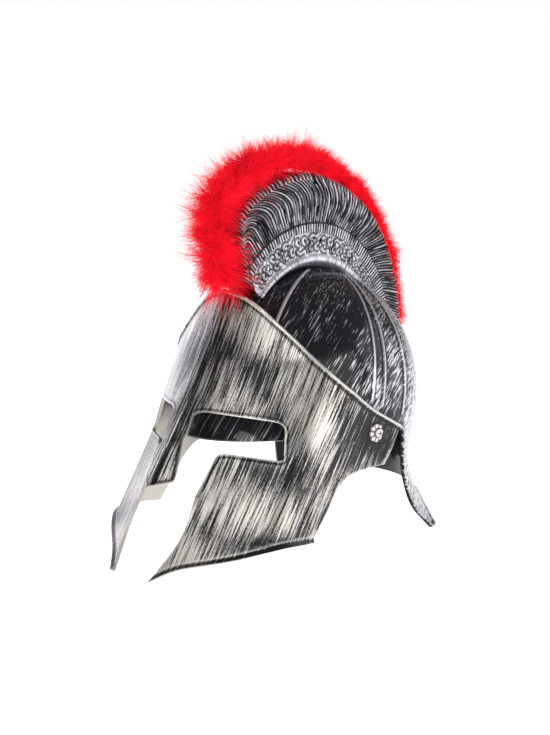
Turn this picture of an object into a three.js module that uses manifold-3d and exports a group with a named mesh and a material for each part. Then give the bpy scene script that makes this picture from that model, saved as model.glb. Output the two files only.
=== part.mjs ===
// A costume Spartan helmet in moulded plastic, standing on its cheek tips and the two corners of its neck guard.
// It has a skull shell with a flared neck guard, a face visor riveted over it at the temples,
// a hollow crest in two halves, and a feather trim round the crest.
// Millimetres. +X is the wearer's left, -Y is forwards and +Z is up.
// While it is built, y = 0 is at the cheek tips. The last lines centre it over the origin.
import * as THREE from "three";
import { mergeVertices } from "three/addons/utils/BufferGeometryUtils.js";
import Module from "manifold-3d";

const wasm = await Module();
wasm.setup();

// Skull shell: half an ellipsoid over a straight skirt, leaning back
const skullHalfWidth = 91;
const skullHalfLength = 117;
const skullHeight = 112;
const skullCentreY = 201.5;
const skullCentreZ = 124;
const skullLean = THREE.MathUtils.degToRad(14.6);
const skullWall = 2.4;
const skullSides = 36;
const skullInnerSides = 24;
const skirtDepth = 118;
const neckFlareStart = 30;
const neckFlareReach = 50;
const neckFlareSide = 0.1;
const neckFlareDepth = 54;
const restZ = -2.29;

// Raised ribs on the skull
const ribWidth = 3.6;
const ribHeight = 1.4;
const ribRoot = 1;

// Face visor. The tables give, at heights on the visor, the slope of its flank in plan
// and how far behind the ridge line (or in front of it, if negative) the flank would start.
const visorWall = 2.4;
const visorRidgeY = -29.5;
const visorLean = 0.67;
const visorBrowStart = 140;
const visorBrowBend = 0.0016;
const visorStandOff = 7;
const visorHalfWidth = skullHalfWidth + visorStandOff;
const visorCorner = 16;
const templeInset = 4.2;
const visorHeights = [0, 60, 98, 131, 172];
const visorSlopes = [1.6, 1.5, 1.39, 1.25, 1.27];
const visorSetbacks = [15, 10, 4, -12, -18];
const visorNoseRound = 9;
const beadWidth = 3.4;
const beadHeight = 1.7;
const lipWidth = 3.6;
const lipHeight = 2.6;

// Temple rivets
const rivetY = 195.5;
const rivetZ = 103;
const rosetteRadius = 8;
const seatDepth = 0.3;
const rosetteHeight = 2.2;
const rosettePetals = 8;
const rivetHeadRadius = 3.6;
const rivetHeadHeight = 2.4;
const rivetOffset = 1.2;
const shankRadius = 2;
const shankPlay = 0.3;

// Crest: bands are arcs in side view, the outer edge is a table of angles and shares of the crest's radius
const crestCentreY = 195;
const crestCentreZ = 165;
const crestRadius = 154;
const crestHalfWidth = 18;
const crestWall = 2;
const crestEdgeRound = 5;
const crestStations = 52;
const crestRibDepth = 1.4;
const crestSweep = 0.05;
const crestFoot = 9;
const crestFootInset = 5;
const bandStand = 0.8;
const reliefInset = 1.2;
const crestBeadStand = 2;
const beadBottomArc = { y: 195.5, z: 154.8, radius: 84.7 };
const beadTopArc = { y: 196.8, z: 162.1, radius: 85.8 };
const reliefTopArc = { y: 192.5, z: 176.2, radius: 91.3 };
const bandTopArc = { y: 193.8, z: 172.5, radius: 103.1 };
const crestEdge = [
  [139, 0.66],
  [136, 0.71],
  [131, 0.83],
  [127.5, 0.905],
  [122, 0.985],
  [109.5, 0.998],
  [92, 1],
  [78, 0.965],
  [55, 0.906],
  [28, 0.828],
  [9, 0.795],
  [-8, 0.83],
  [-22, 0.86],
];
const screwHoleRadius = 1.7;
const crestScrewHoles = [
  [119, 0.855],
  [88, 0.945],
  [38, 0.83],
  [82, 0.615],
  [124, 0.665],
];

// Feather trim: a tube along the crest's outer edge, thick at the front, with locks all over it
const plumeThick = 21;
const plumeThin = 10;
const plumeStations = 22;
const plumeSides = 8;
const plumeLocks = 60;
const lockReach = 1.35;
const lockFan = 0.72;
const plumePath = [
  [105, 245],
  [97, 271],
  [102, 297],
  [122, 317],
  [155, 328],
  [190, 332],
  [222, 326],
  [252, 312],
  [281, 290],
  [303, 260],
  [317, 228],
  [323, 196],
  [328, 168],
];

const gap = 0.3;

// Reaches past the part on both sides
const across = 2.2 * skullHalfWidth;

const side = (y, z) => new THREE.Vector2(y, z);
const lerp = THREE.MathUtils.lerp;

// A closed mesh as a solid for joining and cutting
function solidOf(geometry) {
  const bare = geometry.index ? geometry.toNonIndexed() : geometry.clone();
  bare.deleteAttribute("normal");
  bare.deleteAttribute("uv");
  const merged = mergeVertices(bare, 1e-4);
  return new wasm.Manifold(
    new wasm.Mesh({
      numProp: 3,
      vertProperties: merged.attributes.position.array,
      triVerts: new Uint32Array(merged.index.array),
    }),
  );
}

function geometryOf(solid) {
  const mesh = solid.getMesh();
  const geometry = new THREE.BufferGeometry();
  geometry.setAttribute("position", new THREE.BufferAttribute(mesh.vertProperties, 3));
  geometry.setIndex(new THREE.BufferAttribute(mesh.triVerts, 1));
  return geometry;
}

// The same solid on the wearer's other side
function mirrored(solid) {
  const geometry = geometryOf(solid).scale(-1, 1, 1);
  const index = geometry.index.array;
  for (let i = 0; i < index.length; i += 3) [index[i + 1], index[i + 2]] = [index[i + 2], index[i + 1]];
  return solidOf(geometry);
}

function solidFromFaces(points, faces) {
  const geometry = new THREE.BufferGeometry().setFromPoints(points);
  geometry.setIndex(faces.flat());
  return solidOf(geometry);
}

// Two matching grids of points, joined round their rims into one closed wall
function wallBetween(outer, inner) {
  const rows = outer.length;
  const columns = outer[0].length;
  const points = [...outer.flat(), ...inner.flat()];
  const at = (layer, i, j) => layer * rows * columns + i * columns + j;
  const faces = [];
  const quad = (a, b, c, d) => faces.push([a, b, c], [a, c, d]);
  for (let i = 0; i < rows - 1; i++) {
    for (let j = 0; j < columns - 1; j++) {
      quad(at(0, i, j), at(0, i, j + 1), at(0, i + 1, j + 1), at(0, i + 1, j));
      quad(at(1, i, j), at(1, i + 1, j), at(1, i + 1, j + 1), at(1, i, j + 1));
    }
    quad(at(0, i, 0), at(0, i + 1, 0), at(1, i + 1, 0), at(1, i, 0));
    quad(at(1, i, columns - 1), at(1, i + 1, columns - 1), at(0, i + 1, columns - 1), at(0, i, columns - 1));
  }
  for (let j = 0; j < columns - 1; j++) {
    quad(at(1, 0, j), at(1, 0, j + 1), at(0, 0, j + 1), at(0, 0, j));
    quad(at(0, rows - 1, j), at(0, rows - 1, j + 1), at(1, rows - 1, j + 1), at(1, rows - 1, j));
  }
  return solidFromFaces(points, faces);
}

// A closed bar through rings of points, with flat ends
function barThrough(rings) {
  const count = rings[0].length;
  const faces = [];
  for (let i = 0; i < rings.length - 1; i++) {
    for (let j = 0; j < count; j++) {
      const a = i * count + j;
      const b = i * count + ((j + 1) % count);
      faces.push([a, b, b + count], [a, b + count, a + count]);
    }
  }
  const last = (rings.length - 1) * count;
  for (let j = 1; j < count - 1; j++) {
    faces.push([0, j + 1, j], [last, last + j, last + j + 1]);
  }
  const made = solidFromFaces(rings.flat(), faces);
  return made.volume() > 0 ? made : solidFromFaces(rings.flat(), faces.map((f) => [f[0], f[2], f[1]]));
}

// A raised strip along a path on a surface: each station has its point and the surface's normal there
function stripAlong(stations, section) {
  const rings = stations.map(({ point, normal }, i) => {
    const before = stations[Math.max(i - 1, 0)].point;
    const after = stations[Math.min(i + 1, stations.length - 1)].point;
    const along = after.clone().sub(before).normalize();
    const out = normal.clone().addScaledVector(along, -normal.dot(along)).normalize();
    const across = along.clone().cross(out);
    return section.map(([a, h]) => point.clone().addScaledVector(across, a).addScaledVector(out, h));
  });
  return barThrough(rings);
}

const stripSection = (width, height, root) => [
  [-width / 2, -root],
  [width / 2, -root],
  [width * 0.3, height],
  [-width * 0.3, height],
];

// An outline with its corners rounded: each corner is [a, b] or [a, b, radius]
function roundedShape(corners) {
  const shape = new THREE.Shape();
  const count = corners.length;
  corners.forEach(([a, b, radius = 0], i) => {
    const here = side(a, b);
    const before = side(...corners[(i + count - 1) % count].slice(0, 2));
    const after = side(...corners[(i + 1) % count].slice(0, 2));
    const round = Math.min(radius, 0.48 * here.distanceTo(before), 0.48 * here.distanceTo(after));
    const enter = here.clone().add(before.sub(here).setLength(round));
    const leave = here.clone().add(after.sub(here).setLength(round));
    if (i === 0) shape.moveTo(enter.x, enter.y);
    else shape.lineTo(enter.x, enter.y);
    if (radius > 0) shape.quadraticCurveTo(here.x, here.y, leave.x, leave.y);
  });
  return shape;
}

// A prism through the whole width from a side-view outline of [y, z] corners
function sidePrism(corners, fromX, toX, curveSegments = 3) {
  const geometry = new THREE.ExtrudeGeometry(roundedShape(corners), {
    depth: toX - fromX,
    bevelEnabled: false,
    curveSegments,
  });
  const basis = new THREE.Matrix4().makeBasis(
    new THREE.Vector3(0, 1, 0),
    new THREE.Vector3(0, 0, 1),
    new THREE.Vector3(1, 0, 0),
  );
  geometry.applyMatrix4(basis).translate(fromX, 0, 0);
  return solidOf(geometry);
}

// A prism from a rear-view outline of [x, z] corners, from one y to another
function rearPrism(corners, fromY, toY) {
  const geometry = new THREE.ExtrudeGeometry(roundedShape(corners), {
    depth: toY - fromY,
    bevelEnabled: false,
    curveSegments: 3,
  });
  const basis = new THREE.Matrix4().makeBasis(
    new THREE.Vector3(1, 0, 0),
    new THREE.Vector3(0, 0, 1),
    new THREE.Vector3(0, -1, 0),
  );
  geometry.applyMatrix4(basis).translate(0, toY, 0);
  return solidOf(geometry);
}

// Skull shell
const skullFrame = new THREE.Matrix4()
  .makeTranslation(0, skullCentreY, skullCentreZ)
  .multiply(new THREE.Matrix4().makeRotationX(-skullLean));

// How far the skirt stands out at a height below the equator
function neckFlare(height) {
  const below = Math.max(0, -height - neckFlareStart);
  return neckFlareReach * Math.pow(below / neckFlareDepth, 2);
}

// A point of the skull, grown by an amount. turn is 0 at the wearer's left and a quarter turn at the back;
// drop is 0 at the crown, 1 at the equator and 2 at the bottom of the skirt.
function skullPoint(turn, drop, grown = 0) {
  const polar = (Math.min(drop, 1) * Math.PI) / 2;
  const height = drop <= 1 ? (skullHeight + grown) * Math.cos(polar) : -(drop - 1) * skirtDepth;
  const spread = Math.sin(polar);
  const flare = neckFlare(height);
  return new THREE.Vector3(
    ((skullHalfWidth + grown) * spread + flare * neckFlareSide) * Math.cos(turn),
    ((skullHalfLength + grown) * spread + flare) * Math.sin(turn),
    height,
  ).applyMatrix4(skullFrame);
}

function skullNormal(turn, drop) {
  const step = 0.01;
  const aroundIt = skullPoint(turn + step, drop).sub(skullPoint(turn - step, drop));
  const downIt = skullPoint(turn, drop + step).sub(skullPoint(turn, Math.max(drop - step, 1e-3)));
  return downIt.cross(aroundIt).normalize();
}

// The skull as a closed solid, from its crown down to the bottom of its skirt
function skullBody(grown, columns, domeRows, skirtRows) {
  const drops = [];
  for (let i = 1; i <= domeRows; i++) drops.push(i / domeRows);
  for (let i = 1; i <= skirtRows; i++) drops.push(1 + i / skirtRows);
  const points = [skullPoint(0, 0, grown)];
  drops.forEach((drop) => {
    for (let j = 0; j < columns; j++) points.push(skullPoint((j / columns) * 2 * Math.PI, drop, grown));
  });
  const faces = [];
  const at = (i, j) => 1 + i * columns + (j % columns);
  for (let j = 0; j < columns; j++) faces.push([0, at(0, j), at(0, j + 1)]);
  for (let i = 0; i < drops.length - 1; i++) {
    for (let j = 0; j < columns; j++) {
      faces.push([at(i, j), at(i + 1, j), at(i + 1, j + 1)], [at(i, j), at(i + 1, j + 1), at(i, j + 1)]);
    }
  }
  const bottom = points.push(skullPoint(0, 2, grown).setX(0)) - 1;
  points[bottom].copy(skullPoint(Math.PI / 2, 2, grown).add(skullPoint(-Math.PI / 2, 2, grown)).multiplyScalar(0.5));
  for (let j = 0; j < columns; j++) faces.push([bottom, at(drops.length - 1, j + 1), at(drops.length - 1, j)]);
  return solidFromFaces(points, faces);
}

// The visor's top edge in side view
const visorTopEdge = [
  [109.5, 225.5],
  [115, 219],
  [119, 210],
  [122, 202],
  [128, 188],
  [135, 172],
  [147, 157],
  [168, 141],
  [192, 125],
  [228, 105],
];
// Side view of what is kept of the skull: brow, ear arch and the front edge of the neck guard
const skullOutline = [
  [40, 320],
  [40, 107],
  [110, 106],
  [140, 104, 10],
  [166, 84, 10],
  [207, 71.5, 2],
  [221, 92, 6],
  [232, 101, 8],
  [246, 96, 10],
  [249, 52, 20],
  [258, 24, 12],
  [289.5, restZ],
  [400, restZ],
  [400, 320],
];

// Rear view of the arch cut out of the neck guard's lower edge
const neckArch = [
  [-82, -60],
  [-74, -1],
  [-64, 15, 8],
  [-40, 34, 14],
  [40, 34, 14],
  [64, 15, 8],
  [74, -1],
  [82, -60],
];

const ribs = [
  { turn: -60, from: 0.235, to: 0.78 },
  { turn: 2, from: 0.235, to: 1.06 },
  { turn: 19, from: 0.235, to: 1.06 },
];

function skullRib(turn, from, to) {
  const stations = [];
  const steps = 7;
  for (let i = 0; i <= steps; i++) {
    const drop = lerp(from, to, i / steps);
    stations.push({ point: skullPoint(turn, drop), normal: skullNormal(turn, drop) });
  }
  return stripAlong(stations, stripSection(ribWidth, ribHeight, ribRoot));
}

const skullRoom = skullBody(gap, skullSides, 7, 7);
let skull = skullBody(0, skullSides, 7, 7).subtract(skullBody(-skullWall, skullInnerSides, 6, 6));
skull = skull.intersect(sidePrism(skullOutline, -across, across));
skull = skull.subtract(rearPrism(neckArch, skullCentreY + skullHalfLength / 3, skullCentreY + 2 * skullHalfLength));

// The ribs stop short of the visor's top edge
const visorRoom = sidePrism(
  [...visorTopEdge.map(([y, z]) => [y + beadWidth, z + beadWidth]), [skullCentreY + 30, 60], [0, 60], [60, 260]],
  -across,
  across,
);
for (const { turn, from, to } of ribs) {
  const angle = THREE.MathUtils.degToRad(turn);
  const rib = skullRib(angle, from, to).subtract(visorRoom);
  skull = skull.add(rib).add(mirrored(rib));
}

// Face visor: a wedge section carried up a leaning ridge line
const visorRidge = (z) => visorRidgeY + visorLean * z - visorBrowBend * Math.pow(Math.max(0, z - visorBrowStart), 2);

function tableAt(values, z) {
  const last = visorHeights.length - 1;
  if (z <= visorHeights[0]) return values[0];
  if (z >= visorHeights[last]) return values[last];
  const i = visorHeights.findIndex((h) => h > z) - 1;
  return lerp(values[i], values[i + 1], (z - visorHeights[i]) / (visorHeights[i + 1] - visorHeights[i]));
}

// Half-width of the visor at a place in side view
function visorHalf(y, z) {
  const back = Math.max(0, y - visorRidge(z));
  const setback = tableAt(visorSetbacks, z);
  const share = setback < 0 ? 1 - Math.exp(-back / visorNoseRound) : THREE.MathUtils.smoothstep(back, 8, 28);
  const wedge = tableAt(visorSlopes, z) * (back - setback * share);
  const flank = visorHalfWidth - templeInset * THREE.MathUtils.smoothstep(back, 90, 150);
  const soft = (wedge + flank - Math.hypot(wedge - flank, visorCorner)) / 2;
  return Math.max(0, soft + (visorCorner * visorCorner) / (4 * visorHalfWidth) * Math.exp(-back / visorNoseRound));
}

const visorPoint = (y, z) => new THREE.Vector3(visorHalf(y, z), y, z);

function visorNormal(y, z) {
  const step = 0.5;
  return new THREE.Vector3(
    1,
    (visorHalf(y - step, z) - visorHalf(y + step, z)) / (2 * step),
    (visorHalf(y, z - step) - visorHalf(y, z + step)) / (2 * step),
  ).normalize();
}

// The visor's whole sheet, before its outline is cut
const visorBacks = [4, 10, 19, 32, 46, 58, 68, 80, 98, 125, 165, 230];
const visorRows = [-12, 30, 60, 84, 98, 114, 131, 150, 172, 194, 213, 234];

function visorSheet() {
  const outer = [];
  const inner = [];
  for (const z of visorRows) {
    const ridgeY = visorRidge(z);
    const half = visorBacks.map((b) => ({ point: visorPoint(ridgeY + b, z), normal: visorNormal(ridgeY + b, z) }));
    const near = half[0].normal;
    const reach = 1 / Math.max(0.45, Math.hypot(near.y, near.z));
    const ridge = {
      point: new THREE.Vector3(0, ridgeY, z),
      normal: new THREE.Vector3(0, -1, visorLean).normalize().multiplyScalar(reach),
    };
    const otherHalf = half.map(({ point, normal }) => ({
      point: point.clone().setX(-point.x),
      normal: normal.clone().setX(-normal.x),
    }));
    const row = [...otherHalf.reverse(), ridge, ...half];
    outer.push(row.map(({ point }) => point.clone()));
    inner.push(row.map(({ point, normal }) => point.clone().addScaledVector(normal, -visorWall)));
  }
  return wallBetween(outer, inner);
}

// The visor's other edges in side view
const visorRearEdge = [
  [228, 105],
  [217, 86],
  [207, 73.5],
];
const cheekRearEdge = [
  [207, 73.5],
  [176, 73.5],
  [158, 70],
  [144, 59],
  [134, 46],
  [116, 24],
];
const cheekBottomEdge = [
  [116, 24],
  [83, 27],
  [64, 25],
  [45, 19],
  [32, 15],
  [19, 11],
  [10, 6.5],
  [0, 0],
];
const faceOpening = [
  [27, 34],
  [46, 67],
  [66.5, 98.4, 5],
  [98, 93, 3],
  [105, 123, 6],
  [63, 131, 5],
  [35, 76.6],
  [17, 71.5],
  [-20, 60],
];
const visorOutline = [
  ...visorTopEdge,
  ...visorRearEdge.slice(1),
  ...cheekRearEdge.slice(1),
  ...cheekBottomEdge.slice(1),
  ...faceOpening,
  [-20, 80],
  [40, 160],
  [92, 232],
];

const onVisor = ([y, z]) => ({ point: visorPoint(y, z), normal: visorNormal(y, z) });

function edgeStrip(edge, section) {
  const left = stripAlong(edge.map(onVisor), section);
  return left.add(mirrored(left));
}

let visor = visorSheet().intersect(sidePrism(visorOutline, -across, across));
visor = visor.add(edgeStrip(visorTopEdge, stripSection(beadWidth, beadHeight, 1)));
visor = visor.add(edgeStrip(cheekBottomEdge, stripSection(lipWidth, lipHeight, visorWall * 0.8)));
visor = visor.subtract(skullRoom.intersect(sidePrism(skullOutline, -across, across)));

// Crest
const arcReach = ({ y, z, radius }, angle) => {
  const dy = y - crestCentreY;
  const dz = z - crestCentreZ;
  const along = dy * Math.cos(angle) + dz * Math.sin(angle);
  return along + Math.sqrt(radius * radius - dy * dy - dz * dz + along * along);
};

function crestEdgeReach(angle) {
  const degrees = THREE.MathUtils.radToDeg(angle);
  const i = Math.max(1, crestEdge.findIndex(([a]) => a <= degrees + 1e-6));
  const [a0, r0] = crestEdge[i - 1];
  const [a1, r1] = crestEdge[i];
  return crestRadius * lerp(r0, r1, (degrees - a0) / (a1 - a0));
}

const crestFront = THREE.MathUtils.degToRad(crestEdge[0][0]);
const crestRear = THREE.MathUtils.degToRad(crestEdge[crestEdge.length - 1][0]);

// The crest's section at an angle, as [reach, half-width, share of the sweep], from its foot to its outer edge
function crestSection(angle, groove, grown) {
  const edge = crestEdgeReach(angle) + grown;
  const width = crestHalfWidth + grown;
  const beadBottom = Math.min(arcReach(beadBottomArc, angle) - grown, edge - 18);
  const beadTop = Math.min(arcReach(beadTopArc, angle), edge - 15);
  const reliefTop = Math.min(arcReach(reliefTopArc, angle), edge - 13);
  const bandTop = Math.min(arcReach(bandTopArc, angle), edge - 10);
  const middle = lerp(bandTop, edge - crestEdgeRound, 0.5);
  const cut = crestRibDepth * groove;
  const share = (r) => Math.pow((r - bandTop) / (crestRadius - bandTopArc.radius), 2);
  return [
    [beadBottom - crestFoot, width - crestFootInset, 0],
    [beadBottom - crestFoot * 0.2, width - crestFootInset, 0],
    [lerp(beadBottom, beadTop, 0.25), width, 0],
    [(beadBottom + beadTop) / 2, width + crestBeadStand, 0],
    [beadTop, width - reliefInset, 0],
    [reliefTop, width - reliefInset, 0],
    [reliefTop + 1, width + bandStand, 0],
    [bandTop - 1, width + bandStand, 0],
    [bandTop, width - cut, 0],
    [middle, width - cut, share(middle)],
    [edge - crestEdgeRound, width - cut, share(edge - crestEdgeRound)],
    [edge - cut * 0.6, width - crestEdgeRound, share(edge)],
  ];
}

// Triangles over a crest section: a fan from its first point up to the relief's top, another from its last
function capFaces(count, split) {
  const last = count - 1;
  const faces = [[0, split, last]];
  for (let k = 1; k < last - 1; k++) faces.push(k < split ? [0, k, k + 1] : [last, k, k + 1]);
  return faces;
}

// One half of the crest as a closed solid, from the plane x = inset outwards
function crestSolid(stations, ribbed, grown, inset) {
  const rings = [];
  for (let i = 0; i <= stations; i++) {
    const angle = lerp(crestFront, crestRear, i / stations);
    const groove = ribbed && i % 2 === 1 ? 1 : 0;
    const section = crestSection(angle, groove, grown);
    const spread = grown * 0.008;
    const turned = lerp(crestFront + spread, crestRear - spread, i / stations);
    const last = section[section.length - 1];
    const ring = [[section[0][0], inset, 0], ...section, [last[0], inset, last[2]]];
    rings.push(
      ring.map(([reach, half, share]) => {
        const a = turned + crestSweep * share * Math.sin((Math.PI * i) / stations);
        return new THREE.Vector3(half, crestCentreY + reach * Math.cos(a), crestCentreZ + reach * Math.sin(a));
      }),
    );
  }
  const count = rings[0].length;
  const faces = [];
  for (let i = 0; i < stations; i++) {
    for (let j = 0; j < count; j++) {
      const a = i * count + j;
      const b = i * count + ((j + 1) % count);
      faces.push([a, b + count, b], [a, a + count, b + count]);
    }
  }
  const end = stations * count;
  capFaces(count, 6).forEach(([a, b, c]) => faces.push([a, b, c], [end + a, end + c, end + b]));
  return solidFromFaces(rings.flat(), faces);
}

let crest = crestSolid(crestStations, true, 0, gap / 2);
crest = crest.subtract(crestSolid(15, false, -crestWall - crestRibDepth, -1)).subtract(skullRoom);

// A bar along x from one place to another, centred on a place in side view
function barAcross(radius, fromX, toX, y, z, sides) {
  const geometry = new THREE.CylinderGeometry(radius, radius, toX - fromX, sides);
  geometry.rotateZ(-Math.PI / 2).translate((fromX + toX) / 2, y, z);
  return solidOf(geometry);
}

for (const [degrees, share] of crestScrewHoles) {
  const angle = THREE.MathUtils.degToRad(degrees);
  const y = crestCentreY + crestRadius * share * Math.cos(angle);
  const z = crestCentreZ + crestRadius * share * Math.sin(angle);
  crest = crest.subtract(barAcross(screwHoleRadius, 1, crestHalfWidth + 4, y, z, 5));
}

// Temple rivets: a flower washer with a domed screw on it outside, a shank through both shells, a head inside
const seatX = visorHalf(rivetY, rivetZ) - seatDepth;
const washerX = seatX + gap;
const skullInside = (skullHalfWidth - skullWall) * Math.cos(Math.PI / skullInnerSides) - gap;
const innerHeadX = skullInside - rivetHeadHeight;

function flowerShape() {
  const shape = new THREE.Shape();
  for (let i = 0; i < rosettePetals * 2; i++) {
    const angle = (i / (rosettePetals * 2)) * 2 * Math.PI;
    const reach = i % 2 === 0 ? rosetteRadius : rosetteRadius * 0.82;
    const at = side(reach * Math.cos(angle), reach * Math.sin(angle));
    if (i === 0) shape.moveTo(at.x, at.y);
    else shape.lineTo(at.x, at.y);
  }
  return shape;
}

function rosette() {
  const washer = new THREE.ExtrudeGeometry(flowerShape(), { depth: rosetteHeight, bevelEnabled: false });
  const placed = solidOf(washer.rotateY(Math.PI / 2).translate(washerX, rivetY, rivetZ));
  const ball = new THREE.SphereGeometry(rivetHeadRadius, 10, 6).rotateZ(-Math.PI / 2);
  ball.scale(rivetHeadHeight / rivetHeadRadius, 1, 1).translate(washerX + rosetteHeight, rivetY + rivetOffset, rivetZ);
  return placed
    .add(solidOf(ball))
    .add(barAcross(shankRadius, innerHeadX + 0.5, washerX + rosetteHeight / 2, rivetY, rivetZ, 12))
    .add(barAcross(rivetHeadRadius, innerHeadX, innerHeadX + rivetHeadHeight, rivetY, rivetZ, 12));
}

const rivetHole = barAcross(shankRadius + shankPlay, -across, across, rivetY, rivetZ, 12);
skull = skull.subtract(rivetHole);
const seat = barAcross(rosetteRadius + 0.6, seatX, seatX + 20, rivetY, rivetZ, 16);
visor = visor.subtract(rivetHole).subtract(seat).subtract(mirrored(seat));

// Feather trim
const plumeLine = new THREE.CatmullRomCurve3(plumePath.map(([y, z]) => new THREE.Vector3(0, y, z)));
const plumeRadiusAt = (t) => lerp(plumeThick, plumeThin, THREE.MathUtils.smoothstep(t, 0.1, 0.75));

// Axes across the trim at a place along it: away from the crest, and to the wearer's left
function plumeAxes(t) {
  const along = plumeLine.getTangentAt(t);
  return { point: plumeLine.getPointAt(t), along, out: new THREE.Vector3(0, -along.z, along.y), left: new THREE.Vector3(1, 0, 0) };
}

function plumeTube(grown) {
  const rings = [];
  for (let i = 0; i <= plumeStations; i++) {
    const t = i / plumeStations;
    const { point, out, left } = plumeAxes(t);
    const end = i === 0 || i === plumeStations ? 0.6 : 1;
    const radius = plumeRadiusAt(t) * end * 0.8 + grown;
    const ring = [];
    for (let j = 0; j < plumeSides; j++) {
      const turn = ((j + 0.5) / plumeSides) * 2 * Math.PI;
      ring.push(point.clone().addScaledVector(out, radius * Math.cos(turn)).addScaledVector(left, radius * Math.sin(turn)));
    }
    rings.push(ring);
  }
  return barThrough(rings);
}

// A pointed lock from the middle of the trim, swept back along it
function plumeLock(index) {
  const t = 0.015 + (0.97 * (index + 0.5)) / plumeLocks;
  const { point, along, out, left } = plumeAxes(t);
  const turn = ((index % 5) - 2) * lockFan + 0.25 * Math.sin(index * 2.4);
  const radius = plumeRadiusAt(t);
  const reach = radius * lockReach * (0.9 + 0.1 * Math.sin(index * 1.7));
  const lean = index < plumeLocks * 0.12 ? -0.5 : 0.35;
  const towards = out.clone().multiplyScalar(Math.cos(turn)).addScaledVector(left, Math.sin(turn)).addScaledVector(along, lean).normalize();
  const cone = new THREE.ConeGeometry(radius * 0.4, reach, 5).translate(0, reach / 2, 0);
  cone.applyQuaternion(new THREE.Quaternion().setFromUnitVectors(new THREE.Vector3(0, 1, 0), towards));
  return solidOf(cone.translate(point.x, point.y, point.z));
}

const crestRoomHalf = crestSolid(crestStations, false, gap, -0.2);
const crestRoom = crestRoomHalf.add(mirrored(crestRoomHalf));
let plume = plumeTube(0);
for (let i = 0; i < plumeLocks; i++) plume = plume.add(plumeLock(i));
plume = plume.subtract(crestRoom).subtract(skullRoom);

const group = new THREE.Group();
function addPiece(name, solid, colour, roughness, metalness) {
  const material = new THREE.MeshStandardMaterial({ color: colour, roughness, metalness });
  const mesh = new THREE.Mesh(geometryOf(solid), material);
  mesh.name = name;
  group.add(mesh);
}

const leftRosette = rosette();
addPiece("skull_shell", skull, 0x3c3a40, 0.3, 0.6);
addPiece("face_visor", visor, 0x8d8a86, 0.4, 0.8);
addPiece("crest_left", crest, 0x9a9a9c, 0.4, 0.8);
addPiece("crest_right", mirrored(crest), 0x9a9a9c, 0.4, 0.8);
addPiece("rosette_left", leftRosette, 0x8a8886, 0.35, 0.9);
addPiece("rosette_right", mirrored(leftRosette), 0x8a8886, 0.35, 0.9);
addPiece("plume_trim", plume, 0xe01020, 0.9, 0);

const bounds = new THREE.Box3().setFromObject(group);
group.position.set(0, -(bounds.min.y + bounds.max.y) / 2, -bounds.min.z);

export default group;
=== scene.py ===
"""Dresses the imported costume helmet: brushed silver over black plastic, ribbed crest, red feather trim.

Sizes are in millimetres while a shape is worked out, in the frame of part.mjs: y = 0 at the cheek tips.
to_row() turns them into metres in the row frame.
"""

import math

import bpy
import numpy as np
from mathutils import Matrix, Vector
from mathutils.geometry import delaunay_2d_cdt


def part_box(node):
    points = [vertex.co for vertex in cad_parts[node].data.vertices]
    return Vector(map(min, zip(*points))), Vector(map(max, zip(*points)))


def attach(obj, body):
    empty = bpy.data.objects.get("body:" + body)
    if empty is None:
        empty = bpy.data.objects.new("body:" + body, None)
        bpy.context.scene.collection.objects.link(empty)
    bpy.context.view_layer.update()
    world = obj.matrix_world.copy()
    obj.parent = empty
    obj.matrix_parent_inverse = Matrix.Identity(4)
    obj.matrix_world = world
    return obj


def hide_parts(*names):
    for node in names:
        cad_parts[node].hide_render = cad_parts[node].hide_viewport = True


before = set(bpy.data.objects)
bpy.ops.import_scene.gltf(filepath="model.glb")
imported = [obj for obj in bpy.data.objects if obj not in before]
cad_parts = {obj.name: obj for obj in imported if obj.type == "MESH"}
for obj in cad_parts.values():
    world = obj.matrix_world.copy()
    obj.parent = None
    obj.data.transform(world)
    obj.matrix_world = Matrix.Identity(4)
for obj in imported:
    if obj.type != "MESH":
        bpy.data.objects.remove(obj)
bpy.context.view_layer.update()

# The rivets tie this script's frame to the row frame
RIVET = (195.5, 103.0)
rivet_low, rivet_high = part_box("rosette_left")
SHIFT_Y = (rivet_low[1] + rivet_high[1]) / 2 - RIVET[0] / 1000
SHIFT_Z = (rivet_low[2] + rivet_high[2]) / 2 - RIVET[1] / 1000


def to_row(points):
    points = np.asarray(points, float) / 1000
    return points + [0, SHIFT_Y, SHIFT_Z]


# Camera: the photograph's angle above the floor
CAMERA_AZIMUTH = math.radians(44.5)
CAMERA_ELEVATION = math.radians(11.25)
CAMERA_DISTANCE = 1.5
CAMERA_TARGET = (0, 168.8, 150.2)
CAMERA_LENS = 84.6
CAMERA_SENSOR = 36


def add_camera():
    a, e = CAMERA_AZIMUTH, CAMERA_ELEVATION
    back = Vector((math.sin(a) * math.cos(e), -math.cos(a) * math.cos(e), math.sin(e)))
    target = Vector(to_row(CAMERA_TARGET))
    data = bpy.data.cameras.new("photo_camera")
    data.lens = CAMERA_LENS
    data.sensor_width = CAMERA_SENSOR
    data.clip_end = 20
    camera = bpy.data.objects.new("photo_camera", data)
    camera.location = target + back * CAMERA_DISTANCE
    camera.rotation_euler = (-back).to_track_quat("-Z", "Y").to_euler()
    bpy.context.scene.collection.objects.link(camera)
    bpy.context.scene.camera = camera


add_camera()


# Materials
def material(name):
    made = bpy.data.materials.new(name)
    made.use_nodes = True
    return made, made.node_tree, made.node_tree.nodes["Principled BSDF"]


def set_inputs(tree, made, values):
    """Gives a node's inputs, by name or number, a value each or another node's output."""
    for key, value in values.items():
        if isinstance(value, bpy.types.NodeSocket):
            tree.links.new(value, made.inputs[key])
        else:
            made.inputs[key].default_value = value


def node(tree, kind, inputs, **settings):
    made = tree.nodes.new("ShaderNode" + kind)
    for key, value in settings.items():
        setattr(made, key, value)
    set_inputs(tree, made, inputs)
    return made


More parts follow.
